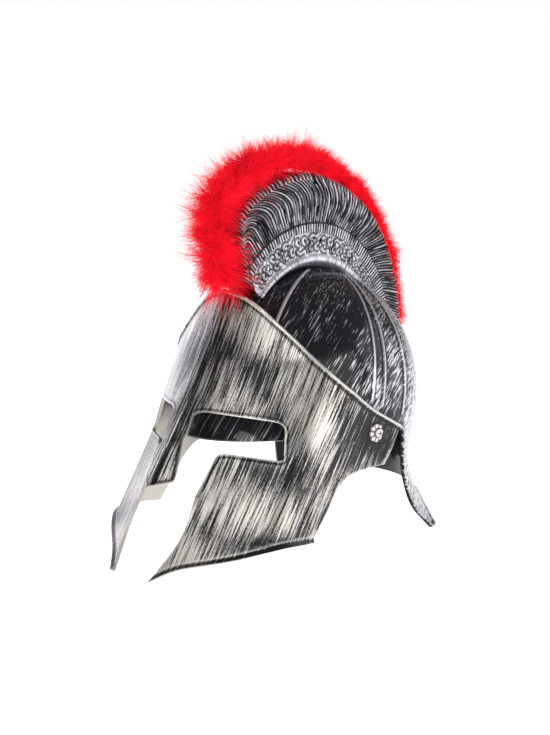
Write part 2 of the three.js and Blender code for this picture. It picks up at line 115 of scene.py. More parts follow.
def attribute(tree, name, output="Fac"):
    return node(tree, "Attribute", {}, attribute_name=name).outputs[output]


def math_node(tree, operation, a, b):
    clamped = operation in ("ADD", "SUBTRACT")
    return node(tree, "Math", {0: a, 1: b}, operation=operation, use_clamp=clamped).outputs[0]


def ramp(tree, source, low, high):
    """A smooth step from 0 at low to 1 at high."""
    inputs = {"Value": source, "From Min": low, "From Max": high}
    return node(tree, "MapRange", inputs, interpolation_type="SMOOTHSTEP").outputs["Result"]


def mixed(tree, share, first, second):
    """A colour between two. A mix node's colours are its inputs 6 and 7 and its output 2."""
    return node(tree, "Mix", {"Factor": share, 6: first, 7: second}, data_type="RGBA").outputs[2]


def noise(tree, flow, across, along, roughness):
    """Noise with so many cycles per millimetre across the flow and along it."""
    stretch = {0: flow, 1: (across, along, across)}
    vector = node(tree, "VectorMath", stretch, operation="MULTIPLY").outputs[0]
    inputs = {"Vector": vector, "Scale": 1, "Detail": 2, "Roughness": roughness}
    return node(tree, "TexNoise", inputs).outputs["Fac"]


BLACK = (0.011, 0.010, 0.013, 1)
VISOR_SILVER = (0.60, 0.58, 0.54, 1)
SKULL_SILVER = (0.62, 0.61, 0.64, 1)
CREST_SILVER = (0.52, 0.52, 0.55, 1)
RIVET_SILVER = (0.66, 0.64, 0.62, 1)
SILVER_METALLIC = 0.85
SILVER_ROUGHNESS = 0.38
PLASTIC_SPECULAR = 0.18
STREAK_DEPTH = 0.0004

# How much the fine streaks, the broad streaks and the patches count, and the sum where black turns to silver
WEIGHTS = (0.8, 0.16, 0.22)
TURNING_POINT = 0.59


def brushed(name, silver, streak, patch, speckle, cover, soft=0.075, black_rough=0.25, bump=0.25):
    """Silver rubbed over black along the flow attribute.

    streak is (across, along) in cycles per millimetre, patch the same for the patches where the brush took,
    speckle the same for the grain that breaks the streaks, with its strength as a third number. cover moves
    the share of silver, and soft is the width of the step from black to silver. The edge attribute is rubbed
    bare silver, and on the crest's scrollwork it also holds painted shine. The dark one stays black, and it
    also holds painted shade beside the visor's ridge, on the crest's foot and round its scrollwork. The
    cover attribute adds to the share of silver, and on the skull it holds a painted glint and painted
    reflection.
    """
    made, tree, shader = material(name)
    flow = attribute(tree, "flow", "Vector")
    fine = noise(tree, flow, *streak, 0.6)
    broad = noise(tree, flow, streak[0] * 0.28, streak[1] * 0.4, 0.5)
    patches = noise(tree, flow, *patch, 0.6)
    grains = noise(tree, flow, *speckle[:2], 0.7)
    joined = node(tree, "CombineXYZ", {0: fine, 1: broad, 2: patches}).outputs[0]
    total = node(tree, "VectorMath", {0: joined, 1: WEIGHTS}, operation="DOT_PRODUCT").outputs["Value"]
    total = math_node(tree, "ADD", total, math_node(tree, "MULTIPLY", grains, speckle[2]))
    total = math_node(tree, "ADD", total, attribute(tree, "cover"))
    middle = TURNING_POINT + 0.5 * speckle[2] - cover
    amount = ramp(tree, total, middle - soft, middle + soft)
    amount = math_node(tree, "ADD", amount, attribute(tree, "edge"))
    amount = math_node(tree, "SUBTRACT", amount, attribute(tree, "dark"))
    rough = node(tree, "MapRange", {"Value": amount, "To Min": black_rough, "To Max": SILVER_ROUGHNESS})
    raised = node(tree, "Bump", {"Strength": bump, "Distance": STREAK_DEPTH, "Height": fine})
    looks = {
        "Base Color": mixed(tree, amount, BLACK, silver),
        "Metallic": math_node(tree, "MULTIPLY", amount, SILVER_METALLIC),
        "Specular IOR Level": PLASTIC_SPECULAR,
        "Roughness": rough.outputs["Result"],
        "Normal": raised.outputs["Normal"],
    }
    set_inputs(tree, shader, looks)
    return made


visor_finish = brushed(
    "visor_brushed", VISOR_SILVER, (0.95, 0.024), patch=(0.03, 0.012), speckle=(1.8, 0.4, 0.26), cover=-0.01
)
skull_finish = brushed(
    "skull_brushed",
    SKULL_SILVER,
    (1.0, 0.009),
    patch=(0.035, 0.02),
    speckle=(1.5, 0.07, 0.1),
    cover=-0.13,
    soft=0.06,
    black_rough=0.12,
    bump=0.08,
)
crest_finish = brushed(
    "crest_silver", CREST_SILVER, (0.5, 0.06), patch=(0.04, 0.03), speckle=(1.3, 0.4, 0.16), cover=0.03
)
rosette_finish = brushed(
    "rosette_silver", RIVET_SILVER, (0.5, 0.3), patch=(0.1, 0.1), speckle=(1.3, 0.4, 0.16), cover=0.12
)


# Meshes
def mesh_object(name, points, faces, finish, attributes, sharp=180):
    """A mesh on the one body, from points in millimetres with some values for each of them.

    Edges sharper than an angle in degrees shade as edges, and the rest is smooth.
    """
    mesh = bpy.data.meshes.new(name)
    mesh.from_pydata(to_row(points).tolist(), [], [list(map(int, f)) for f in faces])
    mesh.validate()
    mesh.polygons.foreach_set("use_smooth", np.ones(len(mesh.polygons), bool))
    for key, values in attributes.items():
        values = np.asarray(values, np.float32)
        kind, field = ("FLOAT_VECTOR", "vector") if values.ndim == 2 else ("FLOAT", "value")
        mesh.attributes.new(key, kind, "POINT").data.foreach_set(field, values.ravel())
    mesh.set_sharp_from_angle(angle=math.radians(sharp))
    mesh.materials.append(finish)
    made = bpy.data.objects.new(name, mesh)
    bpy.context.scene.collection.objects.link(made)
    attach(made, "root")
    return made


def smoothstep(x, low, high):
    t = np.clip((x - low) / (high - low), 0, 1)
    return t * t * (3 - 2 * t)


def bell(x, width):
    """1 at 0, falling smoothly on both sides."""
    return np.exp(-((x / width) ** 2))


def patch_cover(y, z, middle_y, middle_z, reach_y, reach_z, added):
    return added * np.exp(-(((y - middle_y) / reach_y) ** 2) - ((z - middle_z) / reach_z) ** 2)


def unit(vectors):
    return vectors / np.maximum(np.linalg.norm(vectors, axis=1), 1e-9)[:, None]


def resample(points, step):
    """The same polyline with a point every step."""
    points = np.asarray(points, float)
    lengths = np.r_[0, np.cumsum(np.linalg.norm(np.diff(points, axis=0), axis=1))]
    count = max(2, int(round(lengths[-1] / step)) + 1)
    at = np.linspace(0, lengths[-1], count)
    return np.column_stack([np.interp(at, lengths, points[:, k]) for k in range(points.shape[1])])


def curve_through(points, step):
    """A smooth curve through points (Catmull-Rom), with a point every step."""
    p = np.asarray(points, float)
    p = np.vstack([2 * p[0] - p[1], p, 2 * p[-1] - p[-2]])
    t = np.linspace(0, 1, 12, endpoint=False)[:, None]
    parts = []
    for a, b, c, d in zip(p[:-3], p[1:-2], p[2:-1], p[3:]):
        parts.append(
            0.5 * (2 * b + (c - a) * t + (2 * a - 5 * b + 4 * c - d) * t**2 + (3 * b - a - 3 * c + d) * t**3)
        )
    return resample(np.vstack(parts + [p[-2:-1]]), step)


def rounded(corners, step):
    """A path through corners [a, b, radius], each rounded by a curve."""
    corners = [(np.array(c[:2], float), c[2] if len(c) > 2 else 0) for c in corners]
    path = [corners[0][0]]
    for (before, _), (here, radius), (after, _) in zip(corners, corners[1:], corners[2:]):
        if radius == 0:
            path.append(here)
            continue
        enter = here + (before - here) / np.linalg.norm(before - here) * radius
        leave = here + (after - here) / np.linalg.norm(after - here) * radius
        for t in np.linspace(0, 1, 9):
            path.append((1 - t) ** 2 * enter + 2 * t * (1 - t) * here + t * t * leave)
    path.append(corners[-1][0])
    return resample(path, step)


def nearest_point(points, path):
    """Distance from each point to the nearest of a path's points, and which one that is."""
    far, which = np.zeros(len(points)), np.zeros(len(points), int)
    for start in range(0, len(points), 3000):
        some = slice(start, start + 3000)
        gaps = ((points[some, None] - path) ** 2).sum(2)
        far[some] = np.sqrt(gaps.min(1))
        which[some] = gaps.argmin(1)
    return far, which


def nearest(points, path):
    return nearest_point(points, path)[0]


def filled(outline, inside):
    """Triangles over a flat outline, using the points given inside it."""
    outline = [Vector(p) for p in outline]
    edges = [(i, (i + 1) % len(outline)) for i in range(len(outline))]
    points = outline + [Vector(p) for p in inside]
    vertices, _, faces, _, _, _ = delaunay_2d_cdt(points, edges, [], 1, 1e-5)
    return np.array([tuple(v) for v in vertices]), np.array([tuple(f) for f in faces if len(f) == 3])


def rim_edges(faces):
    """The directed edges that only one triangle has."""
    edges = np.vstack([faces[:, [0, 1]], faces[:, [1, 2]], faces[:, [2, 0]]])
    seen = {tuple(e) for e in edges}
    return [e for e in seen if (e[1], e[0]) not in seen]


def thick_sheet(outer, inner, faces):
    """A closed wall from matching outer and inner vertices. faces turn outwards on the outer side."""
    count = len(outer)
    rim = rim_edges(faces)
    sides = [(b, a, a + count) for a, b in rim] + [(b, a + count, b + count) for a, b in rim]
    return np.vstack([outer, inner]), np.vstack([faces, faces[:, ::-1] + count, np.array(sides)])


def ring_faces(rings, sides, hand):
    """Quads between rings of points that follow each other, and a cap at either end.

    hand turns them outwards: 1 for rings on the wearer's left, -1 for their mirror image.
    """
    here = np.arange(rings * sides).reshape(rings, sides)
    after = np.roll(here, -1, axis=1)
    quads = np.dstack([here[:-1], here[1:], after[1:], after[:-1]]).reshape(-1, 4)
    faces = quads.tolist() + [here[0].tolist(), here[-1, ::-1].tolist()]
    return [face[::-hand] for face in faces]


# Moves the streaks of the right half, so that they don't mirror the left one's
STREAK_SHIFT = [137, 53, 0]


def mirrored_sheet(name, outer, inner, faces, on_middle, finish, looks, inside, sharp):
    """A wall from its left half: the other half is the mirror image, welded along the middle.

    looks holds the outer side's attributes, and inside the inner side's values of all but the flow.
    """
    count = len(outer)
    index = np.arange(count) + count
    index[on_middle] = np.arange(count)[on_middle]
    outer_all = np.vstack([outer, outer * [-1, 1, 1]])
    inner_all = np.vstack([inner, inner * [-1, 1, 1]])
    faces_all = np.vstack([faces, index[faces][:, ::-1]])
    used = np.unique(faces_all)
    renumber = np.full(2 * count, -1)
    renumber[used] = np.arange(len(used))
    points, shell = thick_sheet(outer_all[used], inner_all[used], renumber[faces_all])
    flow = np.vstack([looks["flow"], looks["flow"] + STREAK_SHIFT])[used]
    attributes = {"flow": np.vstack([flow, flow])}
    for key, value in inside.items():
        attributes[key] = np.r_[np.tile(looks[key], 2)[used], np.full(len(used), value)]
    return mesh_object(name, points, shell, finish, attributes, sharp)


# Face visor
VISOR_RIDGE_Y = -29.5
VISOR_LEAN = 0.67
VISOR_BROW_START = 140
VISOR_BROW_BEND = 0.0016
VISOR_HALF_WIDTH = 98
VISOR_CORNER = 16
VISOR_WALL = 2.4
TEMPLE_INSET = 4.2
NOSE_ROUND = 9
VISOR_HEIGHTS = [0, 60, 98, 131, 172]
VISOR_SLOPES = [1.6, 1.5, 1.39, 1.25, 1.27]
VISOR_SETBACKS = [15, 10, 4, -12, -18]
GRID_STEP = 2.0
VISOR_INSIDE = {"edge": 0, "dark": 0, "cover": 0.5}
VISOR_SHARP = 22

# Height range of the ridge, spacing of points along the outline and the edges, and rows beside the outline
VISOR_RIDGE_ENDS = (72.5, 225.4)
OUTLINE_STEP = 1.5
EDGE_STEP = 0.6
BORDER_STEPS = (0.5, 1.0, 1.7, 2.4, 3.0, 3.6, 4.4)
BORDER_WIDTH = 5.2

# Width and height of the bead along the top and of the lip under the cheek, and the crease beside the ridge
TOP_BEAD = (3.4, 1.7)
CHEEK_LIP = (4.5, 2.6)
CREASE_X = 3.2
CREASE_DEPTH = 0.7

# Patches of more or less silver on the visor, in side view: y, z, reach along y and z, and the share of
# silver added
VISOR_PATCHES = [
    (112, 198, 16, 26, 0.05),
    (100, 162, 14, 24, -0.08),
    (127, 118, 13, 40, 0.025),
    (158, 142, 12, 22, -0.05),
    (189, 104, 25, 24, -0.20),
    (56, 58, 15, 32, 0.04),
    (86, 84, 18, 13, -0.10),
    (106, 46, 11, 26, -0.05),
    (64, 26, 20, 13, -0.15),
    (24, 20, 14, 22, 0.06),
]

VISOR_TOP = [(109.5, 225.5), (115, 219), (119, 210), (122, 202), (128, 188), (135, 172), (147, 157)]
VISOR_TOP += [(168, 141), (192, 125), (228, 105)]
VISOR_REAR = [(228, 105), (217, 86), (207, 73.5)]
CHEEK_REAR = [(207, 73.5), (176, 73.5), (158, 70), (144, 59), (134, 46), (116, 24)]
CHEEK_BOTTOM = [(116, 24), (83, 27), (64, 25), (45, 19), (32, 15), (19, 11), (10, 6.5), (0, 0)]
CHEEK_FRONT = [(0, 0), (27, 34), (46, 67)]
EYE = [(46, 67), (66.5, 98.4, 5), (98, 93, 4), (105, 123, 7), (63, 131, 6), (48, 102)]
NOSE_SIDE = [(48, 102), (35, 76.6), (17.2, 71.5)]


def visor_ridge(z):
    return VISOR_RIDGE_Y + VISOR_LEAN * z - VISOR_BROW_BEND * np.maximum(0, z - VISOR_BROW_START) ** 2


def visor_half(y, z):
    back = np.maximum(0, y - visor_ridge(z))
    setback = np.interp(z, VISOR_HEIGHTS, VISOR_SETBACKS)
    slope = np.interp(z, VISOR_HEIGHTS, VISOR_SLOPES)
    share = np.where(setback < 0, 1 - np.exp(-back / NOSE_ROUND), smoothstep(back, 8, 28))
    wedge = slope * (back - setback * share)
    flank = VISOR_HALF_WIDTH - TEMPLE_INSET * smoothstep(back, 90, 150)
    soft = (wedge + flank - np.hypot(wedge - flank, VISOR_CORNER)) / 2
    rounding = VISOR_CORNER**2 / (4 * VISOR_HALF_WIDTH) * np.exp(-back / NOSE_ROUND)
    return np.maximum(0, soft + rounding)


def visor_points(flat):
    return np.column_stack([visor_half(flat[:, 0], flat[:, 1]), flat])


def visor_normals(flat):
    y, z = flat[:, 0], flat[:, 1]
    step = 0.5
    by_y = (visor_half(y + step, z) - visor_half(y - step, z)) / (2 * step)
    by_z = (visor_half(y, z + step) - visor_half(y, z - step)) / (2 * step)
    return unit(np.column_stack([np.ones(len(y)), -by_y, -by_z]))


def grid_inside(outline, step, clear):
    """Staggered grid points inside a flat outline, at least clear away from it."""
    low, high = outline.min(0), outline.max(0)
    rows = np.arange(low[1], high[1], step * 0.87)
    points = []
    for i, b in enumerate(rows):
        a = np.arange(low[0] + (i % 2) * step / 2, high[0], step)
        points.append(np.column_stack([a, np.full(len(a), b)]))
    points = np.vstack(points)
    return points[nearest(points, outline) > clear]


def inward(outline, distance):
    """Points a distance inside a closed flat outline that runs clockwise."""
    outline = outline[::-1]
    ahead = np.roll(outline, -1, axis=0) - np.roll(outline, 1, axis=0)
    ahead /= np.linalg.norm(ahead, axis=1)[:, None] + 1e-9
    made = outline + distance * np.column_stack([-ahead[:, 1], ahead[:, 0]])
    return made[nearest(made, outline) > distance * 0.93]


def visor_paths(step, eye_step):
    """Top, rear, cheek's rear, cheek's bottom, mouth side, eye opening and nose."""
    return [
        curve_through(VISOR_TOP, step),
        resample(VISOR_REAR, step),
        curve_through(CHEEK_REAR, step),
        curve_through(CHEEK_BOTTOM, step),
        curve_through(CHEEK_FRONT, step),
        rounded(EYE, eye_step),
        resample(NOSE_SIDE, step),
    ]


def visor_outline():
    """The left half in side view, closed by the ridge."""
    ridge_z = np.arange(*VISOR_RIDGE_ENDS, OUTLINE_STEP)
    ridge = np.column_stack([visor_ridge(ridge_z), ridge_z])
    top, *others = visor_paths(OUTLINE_STEP, 1.0)
    return np.vstack([top] + [path[1:] for path in others] + [ridge])


def visor_distances(points):
    """Distances of points from the visor's top, cheek bottom, eye and nose, mouth side and rear."""
    top, rear, cheek_rear, bottom, front, eye, nose = visor_paths(EDGE_STEP, EDGE_STEP)
    paths = [top, bottom, np.vstack([eye, nose]), front, np.vstack([rear, cheek_rear])]
    return [nearest(points, visor_points(path)) for path in paths]


def bead_across(distance, width, height):
    """A half-round bead's height at a distance from the edge it starts at."""
    share = (distance - width / 2) / (width / 2)
    return height * np.sqrt(np.clip(1 - share**2, 0, 1))


def visor_relief(points, distances):
    """How far the surface stands out over its plain form: beads, lips and the crease beside the ridge."""
    top, bottom, eye, front, rear = distances
    made = bead_across(top, *TOP_BEAD) + 0.9 * bell(eye, 1.5)
    made += CHEEK_LIP[1] * np.clip(1 - bottom / CHEEK_LIP[0], 0, 1) ** 1.5 + 0.4 * bell(front, 1.2)
    made += 0.3 * bell(rear, 1.2)
    beside_ridge = bell(np.abs(points[:, 0] - CREASE_X), 1.1) * (points[:, 0] < 12)
    return made - CREASE_DEPTH * beside_ridge


def visor_looks(flat, points, distances):
    """Attributes of the finish: beads and edges are rubbed bare, grooves stay black, and a painted shade
    line runs beside the ridge.
    """
    top, bottom, eye, front, rear = distances
    edge = np.clip(1.2 - np.abs(top - 1.6) / 1.5, 0, 1) + 0.9 * bell(eye, 1.1)
    edge += 0.45 * bell(front, 0.9) + 0.4 * bell(rear, 0.9)
    edge += 0.55 * bell(bottom - 4.6, 0.9)
    dark = 0.95 * bell(top - 4.3, 0.9) + 0.75 * bell(eye - 2.6, 0.8)
    # Painted shade: a dark line beside the ridge, where the visor's two sides meet
    crease_shade = bell(np.abs(points[:, 0] - CREASE_X), 1.0) * (flat[:, 1] > 74)
    dark += 0.9 * bell(bottom - 1.8, 1.7) + 0.9 * crease_shade
    back = flat[:, 0] - visor_ridge(flat[:, 1])
    across = np.abs(points[:, 0]) + 0.5 * back + 7
    cover = -0.05 * bell(back, 9)
    for patch in VISOR_PATCHES:
        cover += patch_cover(*flat.T, *patch)
    flow = np.column_stack([across, flat[:, 1] * 1.2, np.zeros(len(flat))])
    return {"flow": flow, "edge": edge, "dark": dark, "cover": cover}


def make_visor():
    outline = visor_outline()
    rings = np.vstack([inward(outline, d) for d in BORDER_STEPS])
    rings = rings[rings[:, 0] - visor_ridge(rings[:, 1]) > 0.25]
    grid = grid_inside(outline, GRID_STEP, BORDER_WIDTH)
    flat, faces = filled(outline, np.vstack([rings, grid]))
    points = visor_points(flat)
    normals = visor_normals(flat)
    on_ridge = flat[:, 0] - visor_ridge(flat[:, 1]) < 0.05
    points[on_ridge, 0] = 0

    distances = visor_distances(points)
    raise_by = visor_relief(points, distances)
    raise_by[on_ridge] = 0
    outer = points + normals * raise_by[:, None]
    inner = points - normals * VISOR_WALL
    outer[on_ridge, 0] = 0
    inner[on_ridge] = points[on_ridge] + np.array([0, VISOR_WALL * 1.1, -VISOR_WALL * 0.7])
    looks = visor_looks(flat, points, distances)
    made = mirrored_sheet(
        "visor", outer, inner, faces, on_ridge, visor_finish, looks, VISOR_INSIDE, VISOR_SHARP
    )
    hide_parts("face_visor")


make_visor()


# Skull shell
SKULL_HALF_WIDTH = 91
SKULL_HALF_LENGTH = 117
SKULL_HEIGHT = 112
SKULL_CENTRE = (201.5, 124)
SKULL_LEAN = math.radians(14.6)
LEAN_COS, LEAN_SIN = math.cos(SKULL_LEAN), math.sin(SKULL_LEAN)
SKULL_WALL = 2.4
SKIRT_DEPTH = 118
FLARE_START = 30
FLARE_DEPTH = 54
FLARE_REACH = 50
FLARE_SIDE = 0.1
REST_Z = -2.29
SKULL_STEP = 2.5

# Side view of the brow, the ear arch and the front edge of the neck guard, then its arch in rear view
SKULL_FRONT = [(40, 107), (110, 106), (140, 104, 10), (166, 84, 10), (207, 71.5, 2), (221, 92, 6)]
SKULL_FRONT += [(232, 101, 8), (246, 96, 10), (249, 52, 20), (258, 24, 12), (289.5, REST_Z)]
NECK_TIP_X = 74.2
NECK_ARCH = [(NECK_TIP_X, REST_Z), (74, -1), (64, 15, 8), (40, 34, 14), (0, 34)]

# Ribs: turn in degrees, first and last drop, and height
RIBS = [(-60, 0.235, 0.78, 1.4), (2, 0.235, 1.06, 1.4), (19, 0.235, 1.06, 1.4), (-4.5, 0.235, 1.06, 0.5)]
RIB_HALF_WIDTH = 1.8
RIB_ROWS = (-2.6, -1.9, -1.3, -0.7, 0, 0.7, 1.3, 1.9, 2.6)

# Bead along the ear arch and the neck guard, and the rows of points beside the rim
RIM_BEAD = 1.2
RIM_ROWS = (0.6, 1.3, 2.1, 3.0, 3.8)

# Millimetres along the shell for a drop of 1, over the dome and down the skirt
DROP_LENGTH = 165
SKIRT_LENGTH = 130

# Across the skull's streaks, along them, and the direction in which they hardly change, as columns
SKULL_STREAKS = np.array([[0.686, 0.238, 0.10], [0.537, 0.471, -0.10], [-0.49, 0.85, 0.03]])
# A painted glint on the flank above the visor's rear: y, z, reach along y and z, and the share of silver
# added
SKULL_GLINT = (200, 138, 10, 24, 0.13)
SKULL_INSIDE = {"edge": 0, "dark": 0.9, "cover": 0}
SKULL_SHARP = 50


def skull_flare(height):
    return FLARE_REACH * (np.maximum(0, -height - FLARE_START) / FLARE_DEPTH) ** 2


def skull_points(turn, drop):
    """Points of the shell. turn is 0 at the wearer's left, drop is 0 at the crown and 1 at the equator."""
    polar = np.minimum(drop, 1) * np.pi / 2
    height = np.where(drop <= 1, SKULL_HEIGHT * np.cos(polar), -(drop - 1) * SKIRT_DEPTH)
    flare = skull_flare(height)
    x = (SKULL_HALF_WIDTH * np.sin(polar) + flare * FLARE_SIDE) * np.cos(turn)
    back = (SKULL_HALF_LENGTH * np.sin(polar) + flare) * np.sin(turn)
    y = back * LEAN_COS + height * LEAN_SIN + SKULL_CENTRE[0]
    return np.column_stack([x, y, -back * LEAN_SIN + height * LEAN_COS + SKULL_CENTRE[1]])


def skull_axes(y, z):
    """Distance behind the shell's axis and height above its equator."""
    y, z = y - SKULL_CENTRE[0], z - SKULL_CENTRE[1]
    return y * LEAN_COS - z * LEAN_SIN, y * LEAN_SIN + z * LEAN_COS


def skull_place(points):
    """The turn and drop nearest to points that lie close to the shell."""
    back, height = skull_axes(points[:, 1], points[:, 2])
    flare = skull_flare(height)
    a = points[:, 0] / (SKULL_HALF_WIDTH + flare * FLARE_SIDE)
    b = back / (SKULL_HALF_LENGTH + flare)
    dome = np.arctan2(np.hypot(a, b), height / SKULL_HEIGHT) / (np.pi / 2)
    return np.arctan2(b, a), np.where(height < 0, 1 - height / SKIRT_DEPTH, dome)


def skull_from_side(path):
    """The turn and drop of a side-view path where it crosses the wearer's left half of the shell."""
    back, height = skull_axes(path[:, 0], path[:, 1])
    round_here = np.sqrt(np.clip(1 - (height / SKULL_HEIGHT) ** 2, 0, 1))
    reach = np.where(height < 0, SKULL_HALF_LENGTH + skull_flare(height), SKULL_HALF_LENGTH * round_here)
    share = back / np.maximum(reach, 1e-6)
    dome = np.arccos(np.clip(height / SKULL_HEIGHT, -1, 1)) / (np.pi / 2)
    drop = np.where(height < 0, 1 - height / SKIRT_DEPTH, dome)
    kept = np.abs(share) < 1
    return np.arcsin(share[kept]), drop[kept]


def skull_from_rear(path):
    """The turn and drop of a rear-view path."""
    x, z = path[:, 0], path[:, 1]
    turn = np.full(len(x), 1.2)
    flare = np.zeros(len(x))
    for _ in range(60):
        back = (SKULL_HALF_LENGTH + flare) * np.sin(turn)
        height = (z - SKULL_CENTRE[1] + back * LEAN_SIN) / LEAN_COS
        flare = skull_flare(height)
        turn = np.arccos(np.clip(x / (SKULL_HALF_WIDTH + flare * FLARE_SIDE), 0, 1))
    return turn, 1 - height / SKIRT_DEPTH


def skull_normals(turn, drop):
    step = 0.004
    around = skull_points(turn + step, drop) - skull_points(turn - step, drop)
    down = skull_points(turn, drop + step) - skull_points(turn, np.maximum(drop - step, 1e-3))
    made = unit(np.cross(down, around))
    # At the crown the turn has no meaning, so the normal is the axis there
    made[drop < 0.02] = (0, LEAN_SIN, LEAN_COS)
    return made


def within(points, outline):
    """Which points lie inside a closed flat outline."""
    made = np.zeros(len(points), bool)
    x, y = points[:, 0], points[:, 1]
    for (x0, y0), (x1, y1) in zip(outline, np.roll(outline, -1, axis=0)):
        if y0 != y1:
            made ^= ((y0 > y) != (y1 > y)) & (x < (x1 - x0) * (y - y0) / (y1 - y0) + x0)
    return made


def disc(turn, drop):
    return np.column_stack([drop * np.cos(turn), drop * np.sin(turn)])


def skull_outline():
    """Turn and drop round the left half of the shell, and how many of them lie on the middle plane."""
    turn, drop = skull_from_side(rounded(SKULL_FRONT, 1.2))
    floor_y = np.arange(SKULL_FRONT[-1][0] + 1, 360, 1.5)
    floor_turn, floor_drop = skull_from_side(np.column_stack([floor_y, np.full(len(floor_y), REST_Z)]))
    wide = skull_points(floor_turn, floor_drop)[:, 0] > NECK_TIP_X
    arch_turn, arch_drop = skull_from_rear(rounded(NECK_ARCH, 1.5))
    turn = np.r_[-np.pi / 2, turn, floor_turn[wide], arch_turn]
    drop = np.r_[drop[0], drop, floor_drop[wide], arch_drop]
    turn[-1] = np.pi / 2
    up_back = np.arange(drop[-1] - 0.012, 0, -0.015)
    down_front = np.arange(0, drop[0] - 0.008, 0.015)
    middle = len(up_back) + len(down_front)
    turn = np.r_[turn, np.full(len(up_back), np.pi / 2), np.full(len(down_front), -np.pi / 2)]
    return turn, np.r_[drop, up_back, down_front], middle


def rings_over_skull():
    """Turn and drop of evenly spread points over the left half."""
    turns, drops = [], []
    over_dome = np.arange(0.02, 1, SKULL_STEP / DROP_LENGTH)
    down_skirt = np.arange(1, 1.95, SKULL_STEP / SKIRT_LENGTH)
    for i, drop in enumerate(np.r_[over_dome, down_skirt]):
        count = int(np.pi * 104 * math.sin(min(drop, 1) * np.pi / 2) / SKULL_STEP) + 3
        shift = 0.25 + 0.5 * (i % 2)
        turn = -np.pi / 2 + np.pi * (np.arange(count) + shift) / (count + 0.5)
        turns.append(turn)
        drops.append(np.full(count, drop))
    return np.concatenate(turns), np.concatenate(drops)


def rows_along(path, offsets):
    """Rows beside a path over the shell, at these distances to its left."""
    turn, drop = skull_place(path)
    normals = skull_normals(turn, drop)
    along = np.gradient(path, axis=0)
    left = np.cross(normals, along / (np.linalg.norm(along, axis=1)[:, None] + 1e-9))
    return np.vstack([path + left * d for d in offsets])


def rib_paths():
    made = []
    for turn, first, last, _ in RIBS:
        drops = np.linspace(first, last, int((last - first) * DROP_LENGTH / 1.6))
        made.append(skull_points(np.full(len(drops), math.radians(turn)), drops))
    return made


def skull_mesh(ribs):
    """The left half's points on the disc of turn and drop, its faces, and its rim off the middle plane."""
    rim_turn, rim_drop, middle = skull_outline()
    rim = skull_points(rim_turn, rim_drop)
    free_rim = rim[:-middle]
    rib_rows = [rows_along(path, RIB_ROWS) for path in ribs]
    rim_rows = [rows_along(free_rim, (side * d,)) for d in RIM_ROWS for side in (-1, 1)]
    grid = skull_points(*rings_over_skull())
    close = np.minimum(nearest(grid, np.vstack(ribs)) - 3.4, nearest(grid, rim) - 1.2)
    close = np.minimum(close, nearest(grid, free_rim) - 4.6)
    points = np.vstack([grid[close > 0]] + rib_rows + rim_rows)
    flat = disc(*skull_place(points))
    outline = disc(rim_turn, rim_drop)
    kept = within(flat, outline) & (points[:, 0] > 0.5) & (nearest(points, rim) > 0.45)
    flat, faces = filled(outline, flat[kept])
    return flat, faces, free_rim


def make_skull():
    ribs = rib_paths()
    flat, faces, free_rim = skull_mesh(ribs)
    turn, drop = np.arctan2(flat[:, 1], flat[:, 0]), np.hypot(flat[:, 0], flat[:, 1])
    points = skull_points(turn, drop)
    normals = skull_normals(turn, drop)
    on_middle = np.abs(flat[:, 0]) < 1e-6
    points[on_middle, 0] = 0
    normals[on_middle, 0] = 0

    top_y, top_z = np.array(VISOR_TOP).T
    above_visor = points[:, 2] - np.interp(points[:, 1], top_y, top_z)
    rib_here = smoothstep(above_visor, 4, 7)
    from_ribs = np.array([nearest(points, resample(path, 0.5)) for path in ribs])
    rib = from_ribs.min(0)
    rib_height = np.array([height for _, _, _, height in RIBS])[from_ribs.argmin(0)]
    border = nearest(points, resample(free_rim, EDGE_STEP))
    guard = smoothstep(points[:, 1], 215, 225)
    raise_by = rib_height * (1 - smoothstep(rib, 0.5, RIB_HALF_WIDTH)) * rib_here
    raise_by += RIM_BEAD * (1 - smoothstep(border, 1.4, 2.6)) * guard
    raise_by -= 0.35 * bell(rib - 2.4, 0.5) * rib_here
    outer = points + normals * raise_by[:, None]
    inner = points - normals * SKULL_WALL

    # Ribs and rim are rubbed bare, the grooves beside them stay black, and the rear behind the ribs gets
    # more silver as a painted reflection. A painted glint is added on the flank above the visor's rear.
    edge = 0.75 * (1 - smoothstep(rib, 0.9, 1.7)) * rib_here
    edge += 0.7 * bell(border - 1.2, 1.1) * guard
    dark = 0.9 * bell(rib - 2.5, 0.6) * rib_here
    dark += 0.8 * bell(border - 3.2, 0.9) * guard
    between = np.exp(-((np.degrees(turn) - 10) / 6.5) ** 4) * smoothstep(drop, 0.25, 0.5) * rib_here
    cover = 0.05 * between + 0.05 * guard + 0.12 * smoothstep(np.degrees(turn), 19, 28)
    cover += patch_cover(points[:, 1], points[:, 2], *SKULL_GLINT)
    looks = {"flow": points @ SKULL_STREAKS, "edge": edge, "dark": dark, "cover": cover}
    made = mirrored_sheet(
        "skull", outer, inner, faces, on_middle, skull_finish, looks, SKULL_INSIDE, SKULL_SHARP
    )
    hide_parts("skull_shell")


make_skull()


# Crest
CREST_CENTRE = (195, 165)
CREST_RADIUS = 154
CREST_HALF_WIDTH = 18
CREST_EDGE_ROUND = 5
CREST_FOOT = 9
CREST_FOOT_INSET = 5
BAND_STAND = 0.8
RELIEF_INSET = 1.2
BEAD_STAND = 2
CREST_SEAM = 0.15
CREST_SHARP = 60

# Foot and top of the bead, top of the relief and top of the ribbed band: centre and radius of each arc, and
# how far inside the crest's edge it stays
CREST_ARCS = [(195.5, 154.8, 84.7, 18), (196.8, 162.1, 85.8, 15)]
CREST_ARCS += [(192.5, 176.2, 91.3, 13), (193.8, 172.5, 103.1, 10)]

